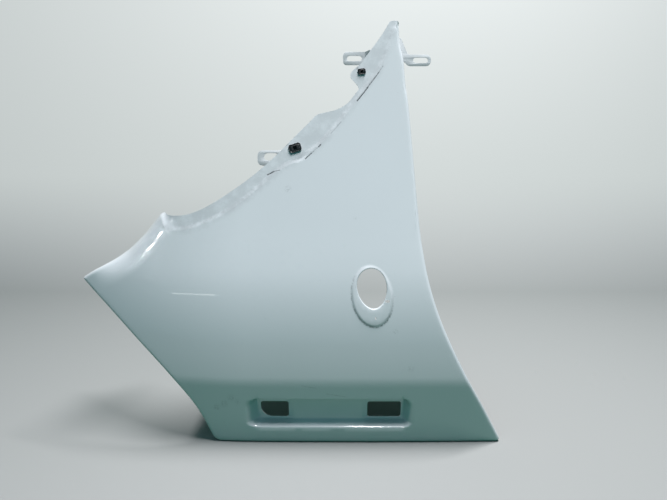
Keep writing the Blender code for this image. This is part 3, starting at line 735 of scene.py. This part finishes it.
def panel_points():
    """Loose places where the form turns quickly, each with the room it needs round it."""
    points = []
    count = round(nose_roll_width / detail_spacing)
    for step in range(1, count + 1):
        inset = edge_radius + (nose_roll_width - edge_radius) * step / count
        row = offset_line(resampled(nose_run, detail_spacing), -inset)
        points += [(place, roll_clearance) for place in row]
    turns = round(math.pi * (lamp_seat_half_width + lamp_seat_half_height) / detail_spacing)
    for step in range(-1, lamp_wall_rows + 2):
        inset = lamp_seat_wall_run * step / lamp_wall_rows
        ring = oval(on_panel(lamp_place_shares), lamp_seat_half_width - inset, lamp_seat_half_height - inset,
                    lamp_tilt, turns)
        points += [(place, ring_clearance) for place in ring]
    turns = round(math.tau * lower_pad_radius / detail_spacing)
    for step in range(-1, pad_rows + 2):
        radius = lower_pad_radius + lower_pad_run * step / pad_rows
        ring = oval(on_panel(lower_grommet_place_shares), radius, radius, 0.0, turns)
        points += [(place, ring_clearance) for place in ring]
    for step in range(-belt_rows - 1, belt_rows + 2):
        row = level_row(0.0, panel_length, belt_height + belt_blend * step / belt_rows, skin_spacing)
        points += [(place, belt_clearance) for place in row]
    return points


def finder(places):
    """The places, sorted so that the nearest one is found quickly."""
    tree = KDTree(len(places))
    for index, place in enumerate(places):
        tree.insert(place.to_3d(), index)
    tree.balance()
    return tree


def blank(outline, lines, loose_points, spacing):
    """Triangles that fill the outline, with edges along the lines and points set evenly."""
    places = list(outline)
    count = len(outline)
    edges = [(index, (index + 1) % count) for index in range(count)]
    for line in lines:
        first = len(places)
        places.extend(line)
        edges.extend((first + index, first + index + 1) for index in range(len(line) - 1))
    fixed = finder(places)
    free = [place for place, clearance in loose_points if fixed.find(place.to_3d())[2] > clearance]
    near = finder(places + free)
    low = Vector((min(p.x for p in outline), min(p.y for p in outline)))
    high = Vector((max(p.x for p in outline), max(p.y for p in outline)))
    row_height = spacing * math.sqrt(3.0) / 2.0
    for row in range(1, math.ceil((high.y - low.y) / row_height)):
        shift = spacing / 2.0 * (row % 2)
        for column in range(1, math.ceil((high.x - low.x) / spacing)):
            place = low + Vector((column * spacing + shift, row * row_height))
            if near.find(place.to_3d())[2] > spacing * fill_clearance_share:
                free.append(place)
    result = delaunay_2d_cdt(places + free, edges, [list(range(count))], 1, touching / 10.0)
    return result[0], result[2]


def flange_depth(chain, places):
    """Depth of the return flange along the chain, blended between the four edges."""
    _, share, _, length = nearest_on(chain, places)
    along = share * length
    depth = np.full(len(places), tip_flange_depth)
    starts = [0.0]
    for corner in (rear_run[-1], bottom_run[-1], front_run[-1]):
        _, at, _, _ = nearest_on(chain, np.array([tuple(corner)]))
        starts.append(at[0] * length - flange_blend / 2.0)
    depths = (rear_flange_depth, bottom_flange_depth, front_flange_depth, nose_flange_depth)
    for start, target in zip(starts, depths):
        depth += (target - depth) * smoothstep((along - start) / flange_blend)
    return depth


def open_edges_on(shape, line):
    """Edges with one face whose two ends lie on a line."""
    edges = [edge for edge in shape.edges if edge.is_boundary]
    ends = np.array([(vert.co.x, vert.co.z) for edge in edges for vert in edge.verts])
    gaps = nearest_on(line, ends)[0].reshape(-1, 2).max(axis=1)
    return [edge for edge, gap in zip(edges, gaps) if gap < touching * 2.0]


def turn_in(panel, line, depth_at):
    """Turns a flange inboard from the open edges on a line."""
    shape = edit(panel, "EDGE")
    pick(panel, open_edges_on(shape, line))
    draw_out(0.0, edge_radius, 0.0)
    shape = bmesh.from_edit_mesh(panel.data)
    moved = [vert for vert in shape.verts if vert.select]
    depths = depth_at(np.array([(vert.co.x, vert.co.z) for vert in moved]))
    for vert, depth in zip(moved, depths):
        vert.co.y += depth - edge_radius
    bmesh.update_edit_mesh(panel.data)
    done()


def make_panel():
    chain, raw = panel_outline()
    places, faces = blank(chain + raw, panel_lines(chain), panel_points(), skin_spacing)
    places = np.array([tuple(place) for place in places])
    faces = np.array([list(face) for face in faces])
    middles = places[faces].mean(axis=1)
    lipped, plain = panel_holes()
    open_faces = np.zeros(len(faces), bool)
    for loop in lipped + plain:
        open_faces |= inside(loop, middles)
    faces = faces[~open_faces]
    depth = panel_depth(places, chain)
    vertices = np.column_stack((places[:, 0], depth, places[:, 1]))
    panel = mesh_piece("pressed_panel", vertices.tolist(), faces.tolist())
    store_marks(panel, raw + [chain[0]], places)
    edit(panel, "VERT")
    bpy.ops.mesh.select_all(action="SELECT")
    bpy.ops.mesh.delete_loose()
    done()
    turn_in(panel, chain, lambda where: flange_depth(chain, where) - edge_radius)
    # The lamp hole and the two windows get a lip
    for loop in (lipped[0], *plain[1:3]):
        turn_in(panel, closed(loop), lambda where: np.full(len(where), lamp_lip_radius))
    give_thickness(panel, sheet_thickness, inner_slot=1)
    apply_all(panel)
    panel.data.transform(to_datum)
    smooth(panel)
    return panel


def store_marks(panel, raw, places):
    """Keeps the distance to a raw edge, the dust and painted shade in the folds, and the line of painted
    shade round the lamp seat.
    """
    lipped, plain = panel_holes()
    reach = nearest_on(raw, places)[0]
    for loop in lipped + plain:
        reach = np.minimum(reach, nearest_on(closed(loop), places)[0])
    # The ring of dust and painted shade and the painted shade line are both strongest at the seat's lower
    # front, where shade falls
    across, up, inset = on_lamp_seat(places)
    ring = np.exp(-(inset / lamp_seat_wall_run * ring_pitch - 1.0) ** 2 * ring_sharpness)
    ring *= ring_least + (1.0 - ring_least) * smoothstep(0.35 - up - 0.25 * across)
    # Painted shade: a dark line just inside the seat's edge, strongest at its lower front
    line = np.exp(-(inset / seat_shade_line_width - 1.0) ** 2) * smoothstep(0.6 - 0.7 * up - 0.5 * across)
    # Dust with painted shade: a band along the fold, and the strip beyond it, darkened to dim the light they
    # catch
    distance, _, side, _ = nearest_on(joggle_line, places)
    fold = np.exp(-((distance * side / joggle_run - 0.5) * fold_pitch) ** 2)
    strip = strip_dust_and_shade * smoothstep(distance * side / joggle_run)
    dust_and_shade_marks = np.maximum(np.maximum(ring, fold), strip)
    for name, values in (("edge_reach", reach), ("fold_dust_and_shade", dust_and_shade_marks), ("seat_shade_line", line)):
        attribute = panel.data.attributes.new(name, "FLOAT", "POINT")
        attribute.data.foreach_set("value", values.astype(np.float32))


# Brackets

def plate(name, outline, slots, bends, depth_at, seat):
    """A bracket drawn flat with its slots, scored along its bends, pressed and thickened."""
    curve = bpy.data.curves.new(name, "CURVE")
    curve.dimensions = "2D"
    curve.fill_mode = "BOTH"
    for loop in [outline] + slots:
        spline = curve.splines.new("POLY")
        spline.points.add(len(loop) - 1)
        for point, place in zip(spline.points, loop):
            point.co = (place.x, place.y, 0.0, 1.0)
        spline.use_cyclic_u = True
    take_up(put_in_scene(name, curve))
    bpy.ops.object.convert(target="MESH")
    piece = bpy.context.object
    edit(piece)
    for point, normal in bends:
        bpy.ops.mesh.select_all(action="SELECT")
        bpy.ops.mesh.bisect(plane_co=point, plane_no=normal)
    bpy.ops.mesh.select_all(action="SELECT")
    bpy.ops.mesh.remove_doubles(threshold=touching)
    done()
    for vert in piece.data.vertices:
        across, up = vert.co.x, vert.co.y
        vert.co = (across, depth_at(across, up), up)
    piece.data.transform(to_datum @ seat)
    if sum(face.normal.y * face.area for face in piece.data.polygons) > 0.0:
        piece.data.flip_normals()
    give_thickness(piece, bracket_thickness)
    soften(piece, bracket_thickness / 4.0, bracket_edge_angle)
    apply_all(piece)
    smooth(piece)
    return piece


def slot_outline(centre, length, width):
    return rectangle(centre, length, width, width / 2.0)


def make_upper_bracket():
    front_top = front_ear_rise + front_ear_height / 2.0
    front_bottom = front_ear_rise - front_ear_height / 2.0
    rear_top = rear_ear_rise + rear_ear_height / 2.0
    rear_bottom = rear_ear_rise - rear_ear_height / 2.0
    outline = rounded([
        (-front_ear_reach, front_top, ear_end_radius),
        (-front_ear_reach, front_bottom, ear_end_radius),
        (neck_start, front_bottom, bracket_corner),
        (neck_reach, rear_bottom + neck_rise, bracket_corner),
        (neck_reach + neck_run, rear_bottom, bracket_corner),
        (rear_ear_reach, rear_bottom, rear_ear_radius),
        (rear_ear_reach, rear_top, rear_ear_radius),
        (web_foot_reach, rear_top, bracket_corner),
        (web_top_reach, web_height, web_top_width / 3.0),
        (web_top_reach - web_top_width, web_height, web_top_width / 3.0),
        (web_back_reach, front_top, bracket_corner),
    ])
    half_weld = upper_weld_width / 2.0
    slots = [slot_outline(centre, ear_slot_length, ear_slot_width) for centre in upper_slot_centres()]
    bends = [((side * (half_weld + upper_ramp_run * step / bend_rows), 0.0, 0.0), (1.0, 0.0, 0.0))
             for side in (-1.0, 1.0) for step in range(bend_rows + 1)]
    return plate("upper_ear_bracket", outline, slots, bends,
                 lambda across, up: ear_offset * smoothstep((abs(across) - half_weld) / upper_ramp_run),
                 upper_frame)


def make_mid_bracket():
    half_leg = mid_leg_width / 2.0
    top = mid_ear_rise + mid_ear_height / 2.0
    bottom = mid_ear_rise - mid_ear_height / 2.0
    outline = rounded([
        (-mid_ear_reach, top, mid_ear_radius),
        (-mid_ear_reach, bottom, mid_ear_radius),
        (-half_leg, bottom, bracket_corner),
        (-half_leg, -mid_foot_length / 2.0, bracket_corner),
        (half_leg, -mid_foot_length / 2.0, bracket_corner),
        (half_leg, top, bracket_corner),
    ])
    centre = Vector((-mid_ear_reach + mid_slot_margin + mid_slot_length / 2.0,
                     mid_ear_rise + mid_slot_offset))
    bends = [((0.0, mid_ramp_start + mid_ramp_run * step / bend_rows, 0.0), (0.0, 1.0, 0.0))
             for step in range(bend_rows + 1)]
    return plate("mid_ear_bracket", outline, [slot_outline(centre, mid_slot_length, mid_slot_width)], bends,
                 lambda across, up: ear_offset * smoothstep((up - mid_ramp_start) / mid_ramp_run),
                 skin_frame(mid_bracket_place_shares, sheet_thickness + fit_gap))


# Screw grommets

def make_grommet(name, shares, size, tilt):
    """A rimmed head with cut corners and a raised boss, on a tapered square shank with a screw bore."""
    seat = to_datum @ skin_frame(shares) @ Matrix.Rotation(-tilt, 4, "Y")
    length, width = size
    half_height = grommet_head_height / 2.0
    head_middle = -fit_gap - half_height
    bpy.ops.mesh.primitive_cube_add(size=1.0)
    piece = bpy.context.object
    piece.name = piece.data.name = name
    piece.data.transform(Matrix.Translation((0.0, head_middle, 0.0))
                         @ Matrix.Diagonal((length, grommet_head_height, width, 1.0)))
    shape = edit(piece, "EDGE")
    upright = [edge for edge in shape.edges if abs((edge.verts[0].co - edge.verts[1].co).y) > half_height]
    pick(piece, upright)
    bpy.ops.mesh.bevel(offset=width * grommet_corner_share, segments=1, affect="EDGES")
    bpy.ops.mesh.select_mode(type="FACE")
    pick(piece, [face for face in unpicked(piece).faces if face.normal.y < -square_on])
    for thickness_share, depth in grommet_face_steps:
        bpy.ops.mesh.inset(thickness=width * thickness_share, depth=depth)
    reach = 2.0 * width * sum(share for share, _ in grommet_face_steps)
    bpy.ops.transform.resize(value=((width - reach) / (length - reach), 1.0, 1.0),
                             center_override=(0.0, 0.0, 0.0))
    draw_out(0.0, grommet_bore_depth, 0.0)
    backs = [face for face in unpicked(piece).faces if face.normal.y > square_on]
    pick(piece, [face for face in backs if face.calc_center_median().y > -fit_gap * 1.5])
    bpy.ops.mesh.inset(thickness=grommet_rim, depth=0.0)
    shank = grommet_shank_depth - half_height
    for share in (shank_straight_share, 1.0 - shank_straight_share):
        draw_out(0.0, shank * share, 0.0)
    bpy.ops.transform.resize(value=(shank_end_share, 1.0, shank_end_share), center_override=(0.0, 0.0, 0.0))
    done()
    piece.data.transform(seat)
    soften(piece, grommet_edge / 3.0, grommet_edge_angle)
    apply_all(piece)
    smooth(piece)
    return piece


# Materials

paint_white = (0.735, 0.785, 0.820, 1.0)
# The inner white is kept darker: partly thinner paint, partly painted shade on the brackets and the sheet's
# back
thin_white_with_shade = (0.54, 0.58, 0.60, 1.0)
plastic_black = (0.006, 0.009, 0.011, 1.0)
card_black = (0.02, 0.02, 0.02, 1.0)
# Dark of the scratches, also used for the painted shade line round the lamp seat
scratch_and_shade_dark = (0.030, 0.036, 0.045, 1.0)
grey_of_dust_and_shade = (0.300, 0.330, 0.350, 1.0)
primer_grey = (0.200, 0.215, 0.225, 1.0)
rust_brown = (0.045, 0.020, 0.011, 1.0)

# How far a scratch wavers, and how strongly each kind of mark shows
waver_reach = 0.0016
waver_way = (1.0, 0.0, -0.6)
cloud_strength = 0.10
seat_shade_line_strength = 0.55
fold_dust_and_shade_strength = 0.55
speck_strength = 0.30
chip_strength = 0.6
chip_reach = 0.0012
primer_strength = 0.30
inner_dust_strength = 0.22
rust_strength = 0.45
plastic_dust_strength = 0.16
ripple_share = 0.06
outer_bump = 0.00018
inner_bump = 0.00004
plastic_bump = 0.00005


def new_group(name, places, numbers, output):
    """A shader group fed by named places and numbers, which gives out one number."""
    group = bpy.data.node_groups.new(name, "ShaderNodeTree")
    for titles, kind in ((places, "NodeSocketVector"), (numbers, "NodeSocketFloat")):
        for title in titles:
            group.interface.new_socket(name=title, in_out="INPUT", socket_type=kind)
    group.interface.new_socket(name=output, in_out="OUTPUT", socket_type="NodeSocketFloat")
    return group, group.nodes.new("NodeGroupInput").outputs, group.nodes.new("NodeGroupOutput").inputs


def feed(tree, socket, value):
    """Connects a socket, or sets it to a plain value."""
    if isinstance(value, bpy.types.NodeSocket):
        tree.links.new(value, socket)
    else:
        socket.default_value = value


def feed_named(tree, node, **values):
    """Feeds a node's inputs by their names, with an underscore for each space."""
    for name, value in values.items():
        feed(tree, node.inputs[name.replace("_", " ")], value)


def maths(tree, operation, *values):
    node = tree.nodes.new("ShaderNodeMath")
    node.operation = operation
    for socket, value in zip(node.inputs, values):
        feed(tree, socket, value)
    return node.outputs[0]


def times(tree, first, second):
    return maths(tree, "MULTIPLY", first, second)


def grading(tree, start, value, gain):
    """A start that grows, or falls, with a value."""
    return maths(tree, "ADD", start, times(tree, value, gain))


def vectors(tree, operation, *values):
    node = tree.nodes.new("ShaderNodeVectorMath")
    node.operation = operation
    for socket, value in zip(node.inputs, values):
        feed(tree, socket, value)
    return node.outputs["Value" if operation in ("DOT_PRODUCT", "LENGTH", "DISTANCE") else "Vector"]


def scaled(tree, vector, factor):
    node = tree.nodes.new("ShaderNodeVectorMath")
    node.operation = "SCALE"
    feed(tree, node.inputs[0], vector)
    feed(tree, node.inputs["Scale"], factor)
    return node.outputs["Vector"]


def rising(tree, value, start, end):
    """Smooth rise from 0 at start to 1 at end."""
    node = tree.nodes.new("ShaderNodeMapRange")
    node.interpolation_type = "SMOOTHSTEP"
    feed_named(tree, node, Value=value, From_Min=start, From_Max=end)
    return node.outputs["Result"]


def falling(tree, value, start, end):
    """Smooth fall from 1 at start to 0 at end."""
    return maths(tree, "SUBTRACT", 1.0, rising(tree, value, start, end))


def noise(tree, place, scale, detail=2.0, roughness=0.5):
    node = tree.nodes.new("ShaderNodeTexNoise")
    feed_named(tree, node, Vector=place, Scale=scale, Detail=detail, Roughness=roughness)
    return node.outputs["Fac"]


def mix_colour(tree, amount, first, second):
    node = tree.nodes.new("ShaderNodeMix")
    node.data_type = "RGBA"
    feed_named(tree, node, Factor=amount, A=first, B=second)
    return node.outputs["Result"]


def add_group(tree, group, **values):
    node = tree.nodes.new("ShaderNodeGroup")
    node.node_tree = group
    feed_named(tree, node, **values)
    return node.outputs[0]


def without_depth(tree, place):
    return vectors(tree, "MULTIPLY", place, (1.0, 0.0, 1.0))


def scratch_group():
    """A scratch between two places on the panel's face, broken up along its way."""
    group, given, result = new_group("scratch", ("Place", "From", "To"), ("Width", "Broken"), "Mask")
    flat = without_depth(group, given["Place"])
    waver = times(group, maths(group, "SUBTRACT", noise(group, flat, 90.0), 0.5), waver_reach)
    flat = vectors(group, "ADD", flat, scaled(group, waver_way, waver))
    away = vectors(group, "SUBTRACT", flat, given["From"])
    span = vectors(group, "SUBTRACT", given["To"], given["From"])
    along = maths(group, "DIVIDE", vectors(group, "DOT_PRODUCT", away, span),
                  vectors(group, "DOT_PRODUCT", span, span))
    along.node.use_clamp = True
    gap = vectors(group, "LENGTH", vectors(group, "SUBTRACT", away, scaled(group, span, along)))
    core = falling(group, gap, times(group, given["Width"], 0.3), given["Width"])
    breaks = rising(group, noise(group, flat, 420.0, 3.0), 0.46, 0.58)
    kept = maths(group, "SUBTRACT", 1.0, times(group, given["Broken"], breaks))
    feed(group, result["Mask"], times(group, core, kept))
    return group


def smudge_group():
    """A soft blotch round a place, mottled within."""
    group, given, result = new_group("smudge", ("Place", "Centre"), ("Reach", "Grain"), "Mask")
    flat = without_depth(group, given["Place"])
    gap = vectors(group, "DISTANCE", flat, given["Centre"])
    soft = falling(group, gap, times(group, given["Reach"], 0.2), given["Reach"])
    mottle = rising(group, noise(group, flat, given["Grain"], 4.0, 0.65), 0.42, 0.62)
    feed(group, result["Mask"], times(group, soft, mottle))
    return group


def speck_group():
    """Small scattered specks of dirt, of uneven size."""
    group, given, result = new_group("specks", ("Place",), ("Scale", "Amount"), "Mask")
    cells = group.nodes.new("ShaderNodeTexVoronoi")
    feed_named(group, cells, Vector=given["Place"], Scale=given["Scale"])
    chosen = maths(group, "GREATER_THAN", given["Amount"], cells.outputs["Color"])
    feed(group, result["Mask"], times(group, falling(group, cells.outputs["Distance"], 0.05, 0.14), chosen))
    return group


def ripple_group():
    """The faint ripple of sprayed paint."""
    group, given, result = new_group("paint ripple", ("Place",), ("Scale",), "Height")
    wide = noise(group, given["Place"], given["Scale"], 1.0)
    fine = noise(group, given["Place"], times(group, given["Scale"], 4.0), 1.0)
    feed(group, result["Height"], grading(group, wide, fine, 0.2))
    return group


def wear_group():
    """Chips and rub marks along raw edges, from the distance kept on the panel."""
    group, given, result = new_group("edge wear", ("Place",), ("Distance", "Reach"), "Mask")
    near = falling(group, given["Distance"], 0.0, given["Reach"])
    ragged = noise(group, given["Place"], 260.0, 4.0, 0.7)
    feed(group, result["Mask"], rising(group, times(group, near, ragged), 0.50, 0.60))
    return group


scratch = scratch_group()
smudge = smudge_group()
specks = speck_group()
ripple = ripple_group()
wear = wear_group()


def on_face(pair):
    """A place on the panel's face, as seen square on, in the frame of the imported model."""
    place = on_panel(pair)
    moved = to_datum.translation
    return (place.x + moved.x, 0.0, place.y + moved.z)


def new_material(name):
    material = bpy.data.materials.new(name)
    material.use_nodes = True
    return material, material.node_tree, material.node_tree.nodes["Principled BSDF"]


def own_place(tree):
    return tree.nodes.new("ShaderNodeTexCoord").outputs["Object"]


def named_value(tree, name):
    node = tree.nodes.new("ShaderNodeAttribute")
    node.attribute_name = name
    return node.outputs["Fac"]


def bump(tree, height, distance):
    node = tree.nodes.new("ShaderNodeBump")
    feed_named(tree, node, Strength=1.0, Distance=distance, Height=height)
    return node.outputs["Normal"]


def strongest(tree, masks):
    total = masks[0]
    for mask in masks[1:]:
        total = maths(tree, "MAXIMUM", total, mask)
    return total


# From, to, width, how broken, strength
scratch_marks = (
    ((0.7101, 0.8740), (0.6842, 0.8384), 0.0011, 0.35, 0.85),
    ((0.6842, 0.8384), (0.6608, 0.8076), 0.0013, 0.20, 0.95),
    ((0.7195, 0.8884), (0.7101, 0.8740), 0.0010, 0.70, 0.45),
    ((0.6236, 0.7583), (0.6005, 0.7326), 0.0013, 0.30, 0.32),
    ((0.5765, 0.7059), (0.5720, 0.7010), 0.0015, 0.10, 0.85),
    ((0.5720, 0.7010), (0.5560, 0.6862), 0.0009, 0.80, 0.55),
    ((0.5560, 0.6862), (0.5415, 0.6727), 0.0012, 0.25, 0.90),
    ((0.4828, 0.6468), (0.4694, 0.6435), 0.0009, 0.40, 0.60),
    ((0.4700, 0.6437), (0.4555, 0.6358), 0.0013, 0.15, 0.90),
    ((0.5351, 0.1539), (0.5660, 0.1480), 0.0009, 0.80, 0.25),
    ((0.5900, 0.1330), (0.6375, 0.1240), 0.0009, 0.80, 0.25),
)
# Centre, reach, grain, strength
smudge_marks = (
    ((0.5023, 0.6033), 0.0075, 260.0, 0.35),
    ((0.7804, 0.1958), 0.0070, 300.0, 0.30),
    ((0.7450, 0.2823), 0.0060, 300.0, 0.30),
    ((0.6551, 0.5377), 0.0040, 300.0, 0.20),
    ((0.3384, 0.0934), 0.0075, 420.0, 0.55),
    ((0.3560, 0.1035), 0.0090, 420.0, 0.40),
    ((0.3730, 0.1200), 0.0090, 420.0, 0.35),
    ((0.3866, 0.1100), 0.0070, 420.0, 0.30),
)


def outer_paint():
    """White under a clear coat, with its scratches, smudges, dust and chips, and painted shade in the folds
    and round the lamp seat.
    """
    material, tree, shader = new_material("white_paint")
    place = own_place(tree)
    cloudy = times(tree, noise(tree, place, 7.0, 3.0), cloud_strength)
    colour = mix_colour(tree, cloudy, paint_white, grey_of_dust_and_shade)
    masks = []
    for start, end, width, broken, strength in scratch_marks:
        mark = add_group(tree, scratch, Place=place, From=on_face(start), To=on_face(end),
                         Width=width, Broken=broken)
        masks.append(times(tree, mark, strength))
    # The dark line round the lamp seat is painted shade, laid in with the scratches
    dotted = rising(tree, noise(tree, place, 260.0, 4.0), 0.40, 0.60)
    masks.append(times(tree, times(tree, named_value(tree, "seat_shade_line"), dotted), seat_shade_line_strength))
    scratches_and_shade = strongest(tree, masks)
    masks = []
    for centre, reach, grain, strength in smudge_marks:
        mark = add_group(tree, smudge, Place=place, Centre=on_face(centre), Reach=reach, Grain=grain)
        masks.append(times(tree, mark, strength))
    # Dust in the folds, with painted shade on the fold and the strip
    film = rising(tree, noise(tree, place, 55.0, 5.0, 0.7), 0.30, 0.62)
    masks.append(times(tree, times(tree, named_value(tree, "fold_dust_and_shade"), film), fold_dust_and_shade_strength))
    specked = add_group(tree, specks, Place=place, Scale=150.0, Amount=0.10)
    masks.append(times(tree, specked, speck_strength))
    dirt_and_shade = strongest(tree, masks)
    chipped = add_group(tree, wear, Place=place, Distance=named_value(tree, "edge_reach"), Reach=chip_reach)
    chipped = times(tree, chipped, chip_strength)
    colour = mix_colour(tree, dirt_and_shade, colour, grey_of_dust_and_shade)
    colour = mix_colour(tree, chipped, colour, primer_grey)
    colour = mix_colour(tree, scratches_and_shade, colour, scratch_and_shade_dark)
    spoiled = strongest(tree, [scratches_and_shade, dirt_and_shade, chipped])
    skin = add_group(tree, ripple, Place=place, Scale=180.0)
    height = maths(tree, "SUBTRACT", times(tree, skin, ripple_share), scratches_and_shade)
    feed_named(tree, shader, Base_Color=colour, Roughness=grading(tree, 0.32, spoiled, 0.35),
               Coat_Weight=grading(tree, 1.0, spoiled, -0.9), Coat_Roughness=0.03, Coat_IOR=1.5,
               Normal=bump(tree, height, outer_bump))
    return material


def inner_paint():
    """Thinner paint behind the sheet and on the brackets: duller, dusty, with primer showing through, and a
    darker white that is partly painted shade.
    """
    material, tree, shader = new_material("inner_paint")
    place = own_place(tree)
    thin = rising(tree, noise(tree, place, 16.0, 4.0, 0.6), 0.48, 0.74)
    colour = mix_colour(tree, times(tree, thin, primer_strength), thin_white_with_shade, primer_grey)
    dusty = rising(tree, noise(tree, place, 60.0, 5.0, 0.7), 0.50, 0.72)
    colour = mix_colour(tree, times(tree, dusty, inner_dust_strength), colour, grey_of_dust_and_shade)
    dotted = add_group(tree, specks, Place=place, Scale=120.0, Amount=0.15)
    colour = mix_colour(tree, times(tree, dotted, rust_strength), colour, rust_brown)
    skin = add_group(tree, ripple, Place=place, Scale=240.0)
    feed_named(tree, shader, Base_Color=colour, Roughness=grading(tree, 0.38, dusty, 0.25),
               Coat_Weight=grading(tree, 0.5, dusty, -0.4), Coat_Roughness=0.15,
               Normal=bump(tree, skin, inner_bump))
    return material


def black_plastic():
    material, tree, shader = new_material("black_plastic")
    place = own_place(tree)
    dusty = rising(tree, noise(tree, place, 320.0, 4.0, 0.7), 0.50, 0.70)
    colour = mix_colour(tree, times(tree, dusty, plastic_dust_strength), plastic_black, grey_of_dust_and_shade)
    grain = noise(tree, place, 1400.0, 3.0, 0.6)
    feed_named(tree, shader, Base_Color=colour, Roughness=grading(tree, 0.38, dusty, 0.30),
               Normal=bump(tree, grain, plastic_bump))
    return material


white_paint = outer_paint()
back_paint = inner_paint()
plastic = black_plastic()
finish_piece(make_panel(), "fender_panel", "white_paint", white_paint, back_paint)
finish_piece(make_upper_bracket(), "upper_bracket", "white_paint", back_paint)
finish_piece(make_mid_bracket(), "mid_bracket", "white_paint", back_paint)
finish_piece(make_grommet("lower_screw_grommet", *lower_grommet),
             "screw_grommet_lower", "black_plastic", plastic)
finish_piece(make_grommet("upper_screw_grommet", *upper_grommet),
             "screw_grommet_upper", "black_plastic", plastic)


# Stage, lamps and camera

def mixed_shaders(tree, amount, first, second):
    node = tree.nodes.new("ShaderNodeMixShader")
    for socket, value in zip(node.inputs, (amount, first, second)):
        tree.links.new(value, socket)
    return node.outputs[0]


def stage_paint(name, pale, bounced, lift):
    """A surface that looks pale, lifted where it stands upright, with a bounce light of its own colour.

    Its back is clear, so the object can be looked at from behind the backdrop.
    """
    material, tree, seen = new_material(name)
    geometry = tree.nodes.new("ShaderNodeNewGeometry").outputs
    upward = tree.nodes.new("ShaderNodeSeparateXYZ")
    feed(tree, upward.inputs[0], geometry["Normal"])
    feed_named(tree, seen, Base_Color=pale, Roughness=0.9, Emission_Color=pale,
               Emission_Strength=grading(tree, lift, upward.outputs["Z"], -lift))
    unseen = tree.nodes.new("ShaderNodeBsdfDiffuse")
    feed_named(tree, unseen, Color=bounced)
    path = tree.nodes.new("ShaderNodeLightPath").outputs
    direct = strongest(tree, [path["Is Camera Ray"], path["Is Glossy Ray"], path["Is Transmission Ray"]])
    front = mixed_shaders(tree, direct, unseen.outputs[0], seen.outputs[0])
    clear = tree.nodes.new("ShaderNodeBsdfTransparent").outputs[0]
    one_sided = mixed_shaders(tree, geometry["Backfacing"], front, clear)
    feed_named(tree, tree.nodes["Material Output"], Surface=one_sided)
    return material


def flat_black():
    material, tree, shader = new_material("black_card")
    feed_named(tree, shader, Base_Color=card_black, Roughness=0.9)
    return material


def level_sheet(name, place, length, depth):
    bpy.ops.mesh.primitive_plane_add(size=1.0)
    sheet = bpy.context.object
    sheet.name = sheet.data.name = name
    sheet.data.transform(Matrix.Translation(place) @ Matrix.Diagonal((length, depth, 1.0, 1.0)))
    return sheet


stage_grey = (0.34, 0.352, 0.348, 1.0)
bounced_green = (0.018, 0.110, 0.066, 1.0)
backdrop_lift = 1.15
floor_level = packed_box[0].z - fit_gap
wall_place = 1.05
wall_bend = 0.30
stage_reach = 6.0
card_place = (0.01, -0.002, -0.46)
card_length = 0.42
card_depth = 0.22

stage = level_sheet("floor_and_backdrop", (0.0, wall_place - stage_reach / 2.0, floor_level),
                    stage_reach * 1.5, stage_reach)
shape = edit(stage, "EDGE")
pick(stage, [edge for edge in shape.edges if min(vert.co.y for vert in edge.verts) > wall_place - touching])
draw_out(0.0, 0.0, stage_reach / 2.0)
pick(stage, [edge for edge in unpicked(stage).edges if len(edge.link_faces) == 2])
bpy.ops.mesh.bevel(offset=wall_bend, segments=16, affect="EDGES")
done()
smooth(stage)
stage.data.materials.append(stage_paint("pale_stage", stage_grey, bounced_green, backdrop_lift))

# A black card lies out of sight behind the panel, over its windows, and keeps the floor there in shade
card = level_sheet("shade_card", card_place, card_length, card_depth)
card.data.materials.append(flat_black())
card.visible_camera = False


def soft_lamp(name, place, target, size, power, colour=(1.0, 1.0, 1.0), turn=0.0, spread=180.0):
    """A rectangular lamp aimed at a target, turned about its beam, with its spread in degrees."""
    light = bpy.data.lights.new(name, "AREA")
    light.shape = "RECTANGLE"
    light.size, light.size_y = size
    light.energy = power
    light.color = colour
    light.spread = math.radians(spread)
    lamp = put_in_scene(name, light)
    lamp.location = place
    aim = (Vector(target) - Vector(place)).to_track_quat("-Z", "Y")
    lamp.rotation_euler = (aim @ Quaternion((0.0, 0.0, 1.0), math.radians(turn))).to_euler()
    lamp.visible_camera = False


middle = (packed_box[0] + packed_box[1]) / 2.0
soft_lamp("overhead_strip", (middle.x + 0.40, middle.y - 0.13, middle.z + 1.8), middle, (1.4, 0.3), 74.0,
          colour=(1.0, 0.97, 0.985))
soft_lamp("front_tube", (-4.4, -7.1, 1.62), (-0.25, -0.1, -0.35), (2.6, 0.06), 2.0, turn=7.5)
soft_lamp("nose_lamp", (-2.89, -0.67, 1.10), (-0.273, -0.063, -0.251), (0.15, 0.12), 0.003, spread=2.4)
soft_lamp("nose_lamp_low", (-2.93, -0.824, 0.955), (-0.3113, -0.0664, -0.2983), (0.05, 0.05), 0.0005,
          spread=0.6)

room_tint = (0.40, 0.85, 1.0, 1.0)
room_strength = 0.19
scene.world = bpy.data.worlds.new("soft_room")
scene.world.use_nodes = True
room = scene.world.node_tree
feed_named(room, room.nodes["Background"], Color=room_tint, Strength=room_strength)

camera_place = Vector((0.40254, -0.93482, 0.50600))
camera_fall = math.radians(12.0)
camera_lens = 36.0
camera_sensor = 36.0
camera = put_in_scene("photo_camera", bpy.data.cameras.new("photo_camera"))
camera.location = to_datum @ camera_place
camera.rotation_euler = (math.pi / 2.0 - camera_fall, 0.0, 0.0)
camera.data.lens = camera_lens
camera.data.sensor_width = camera_sensor
scene.camera = camera

scene.view_settings.view_transform = "Standard"
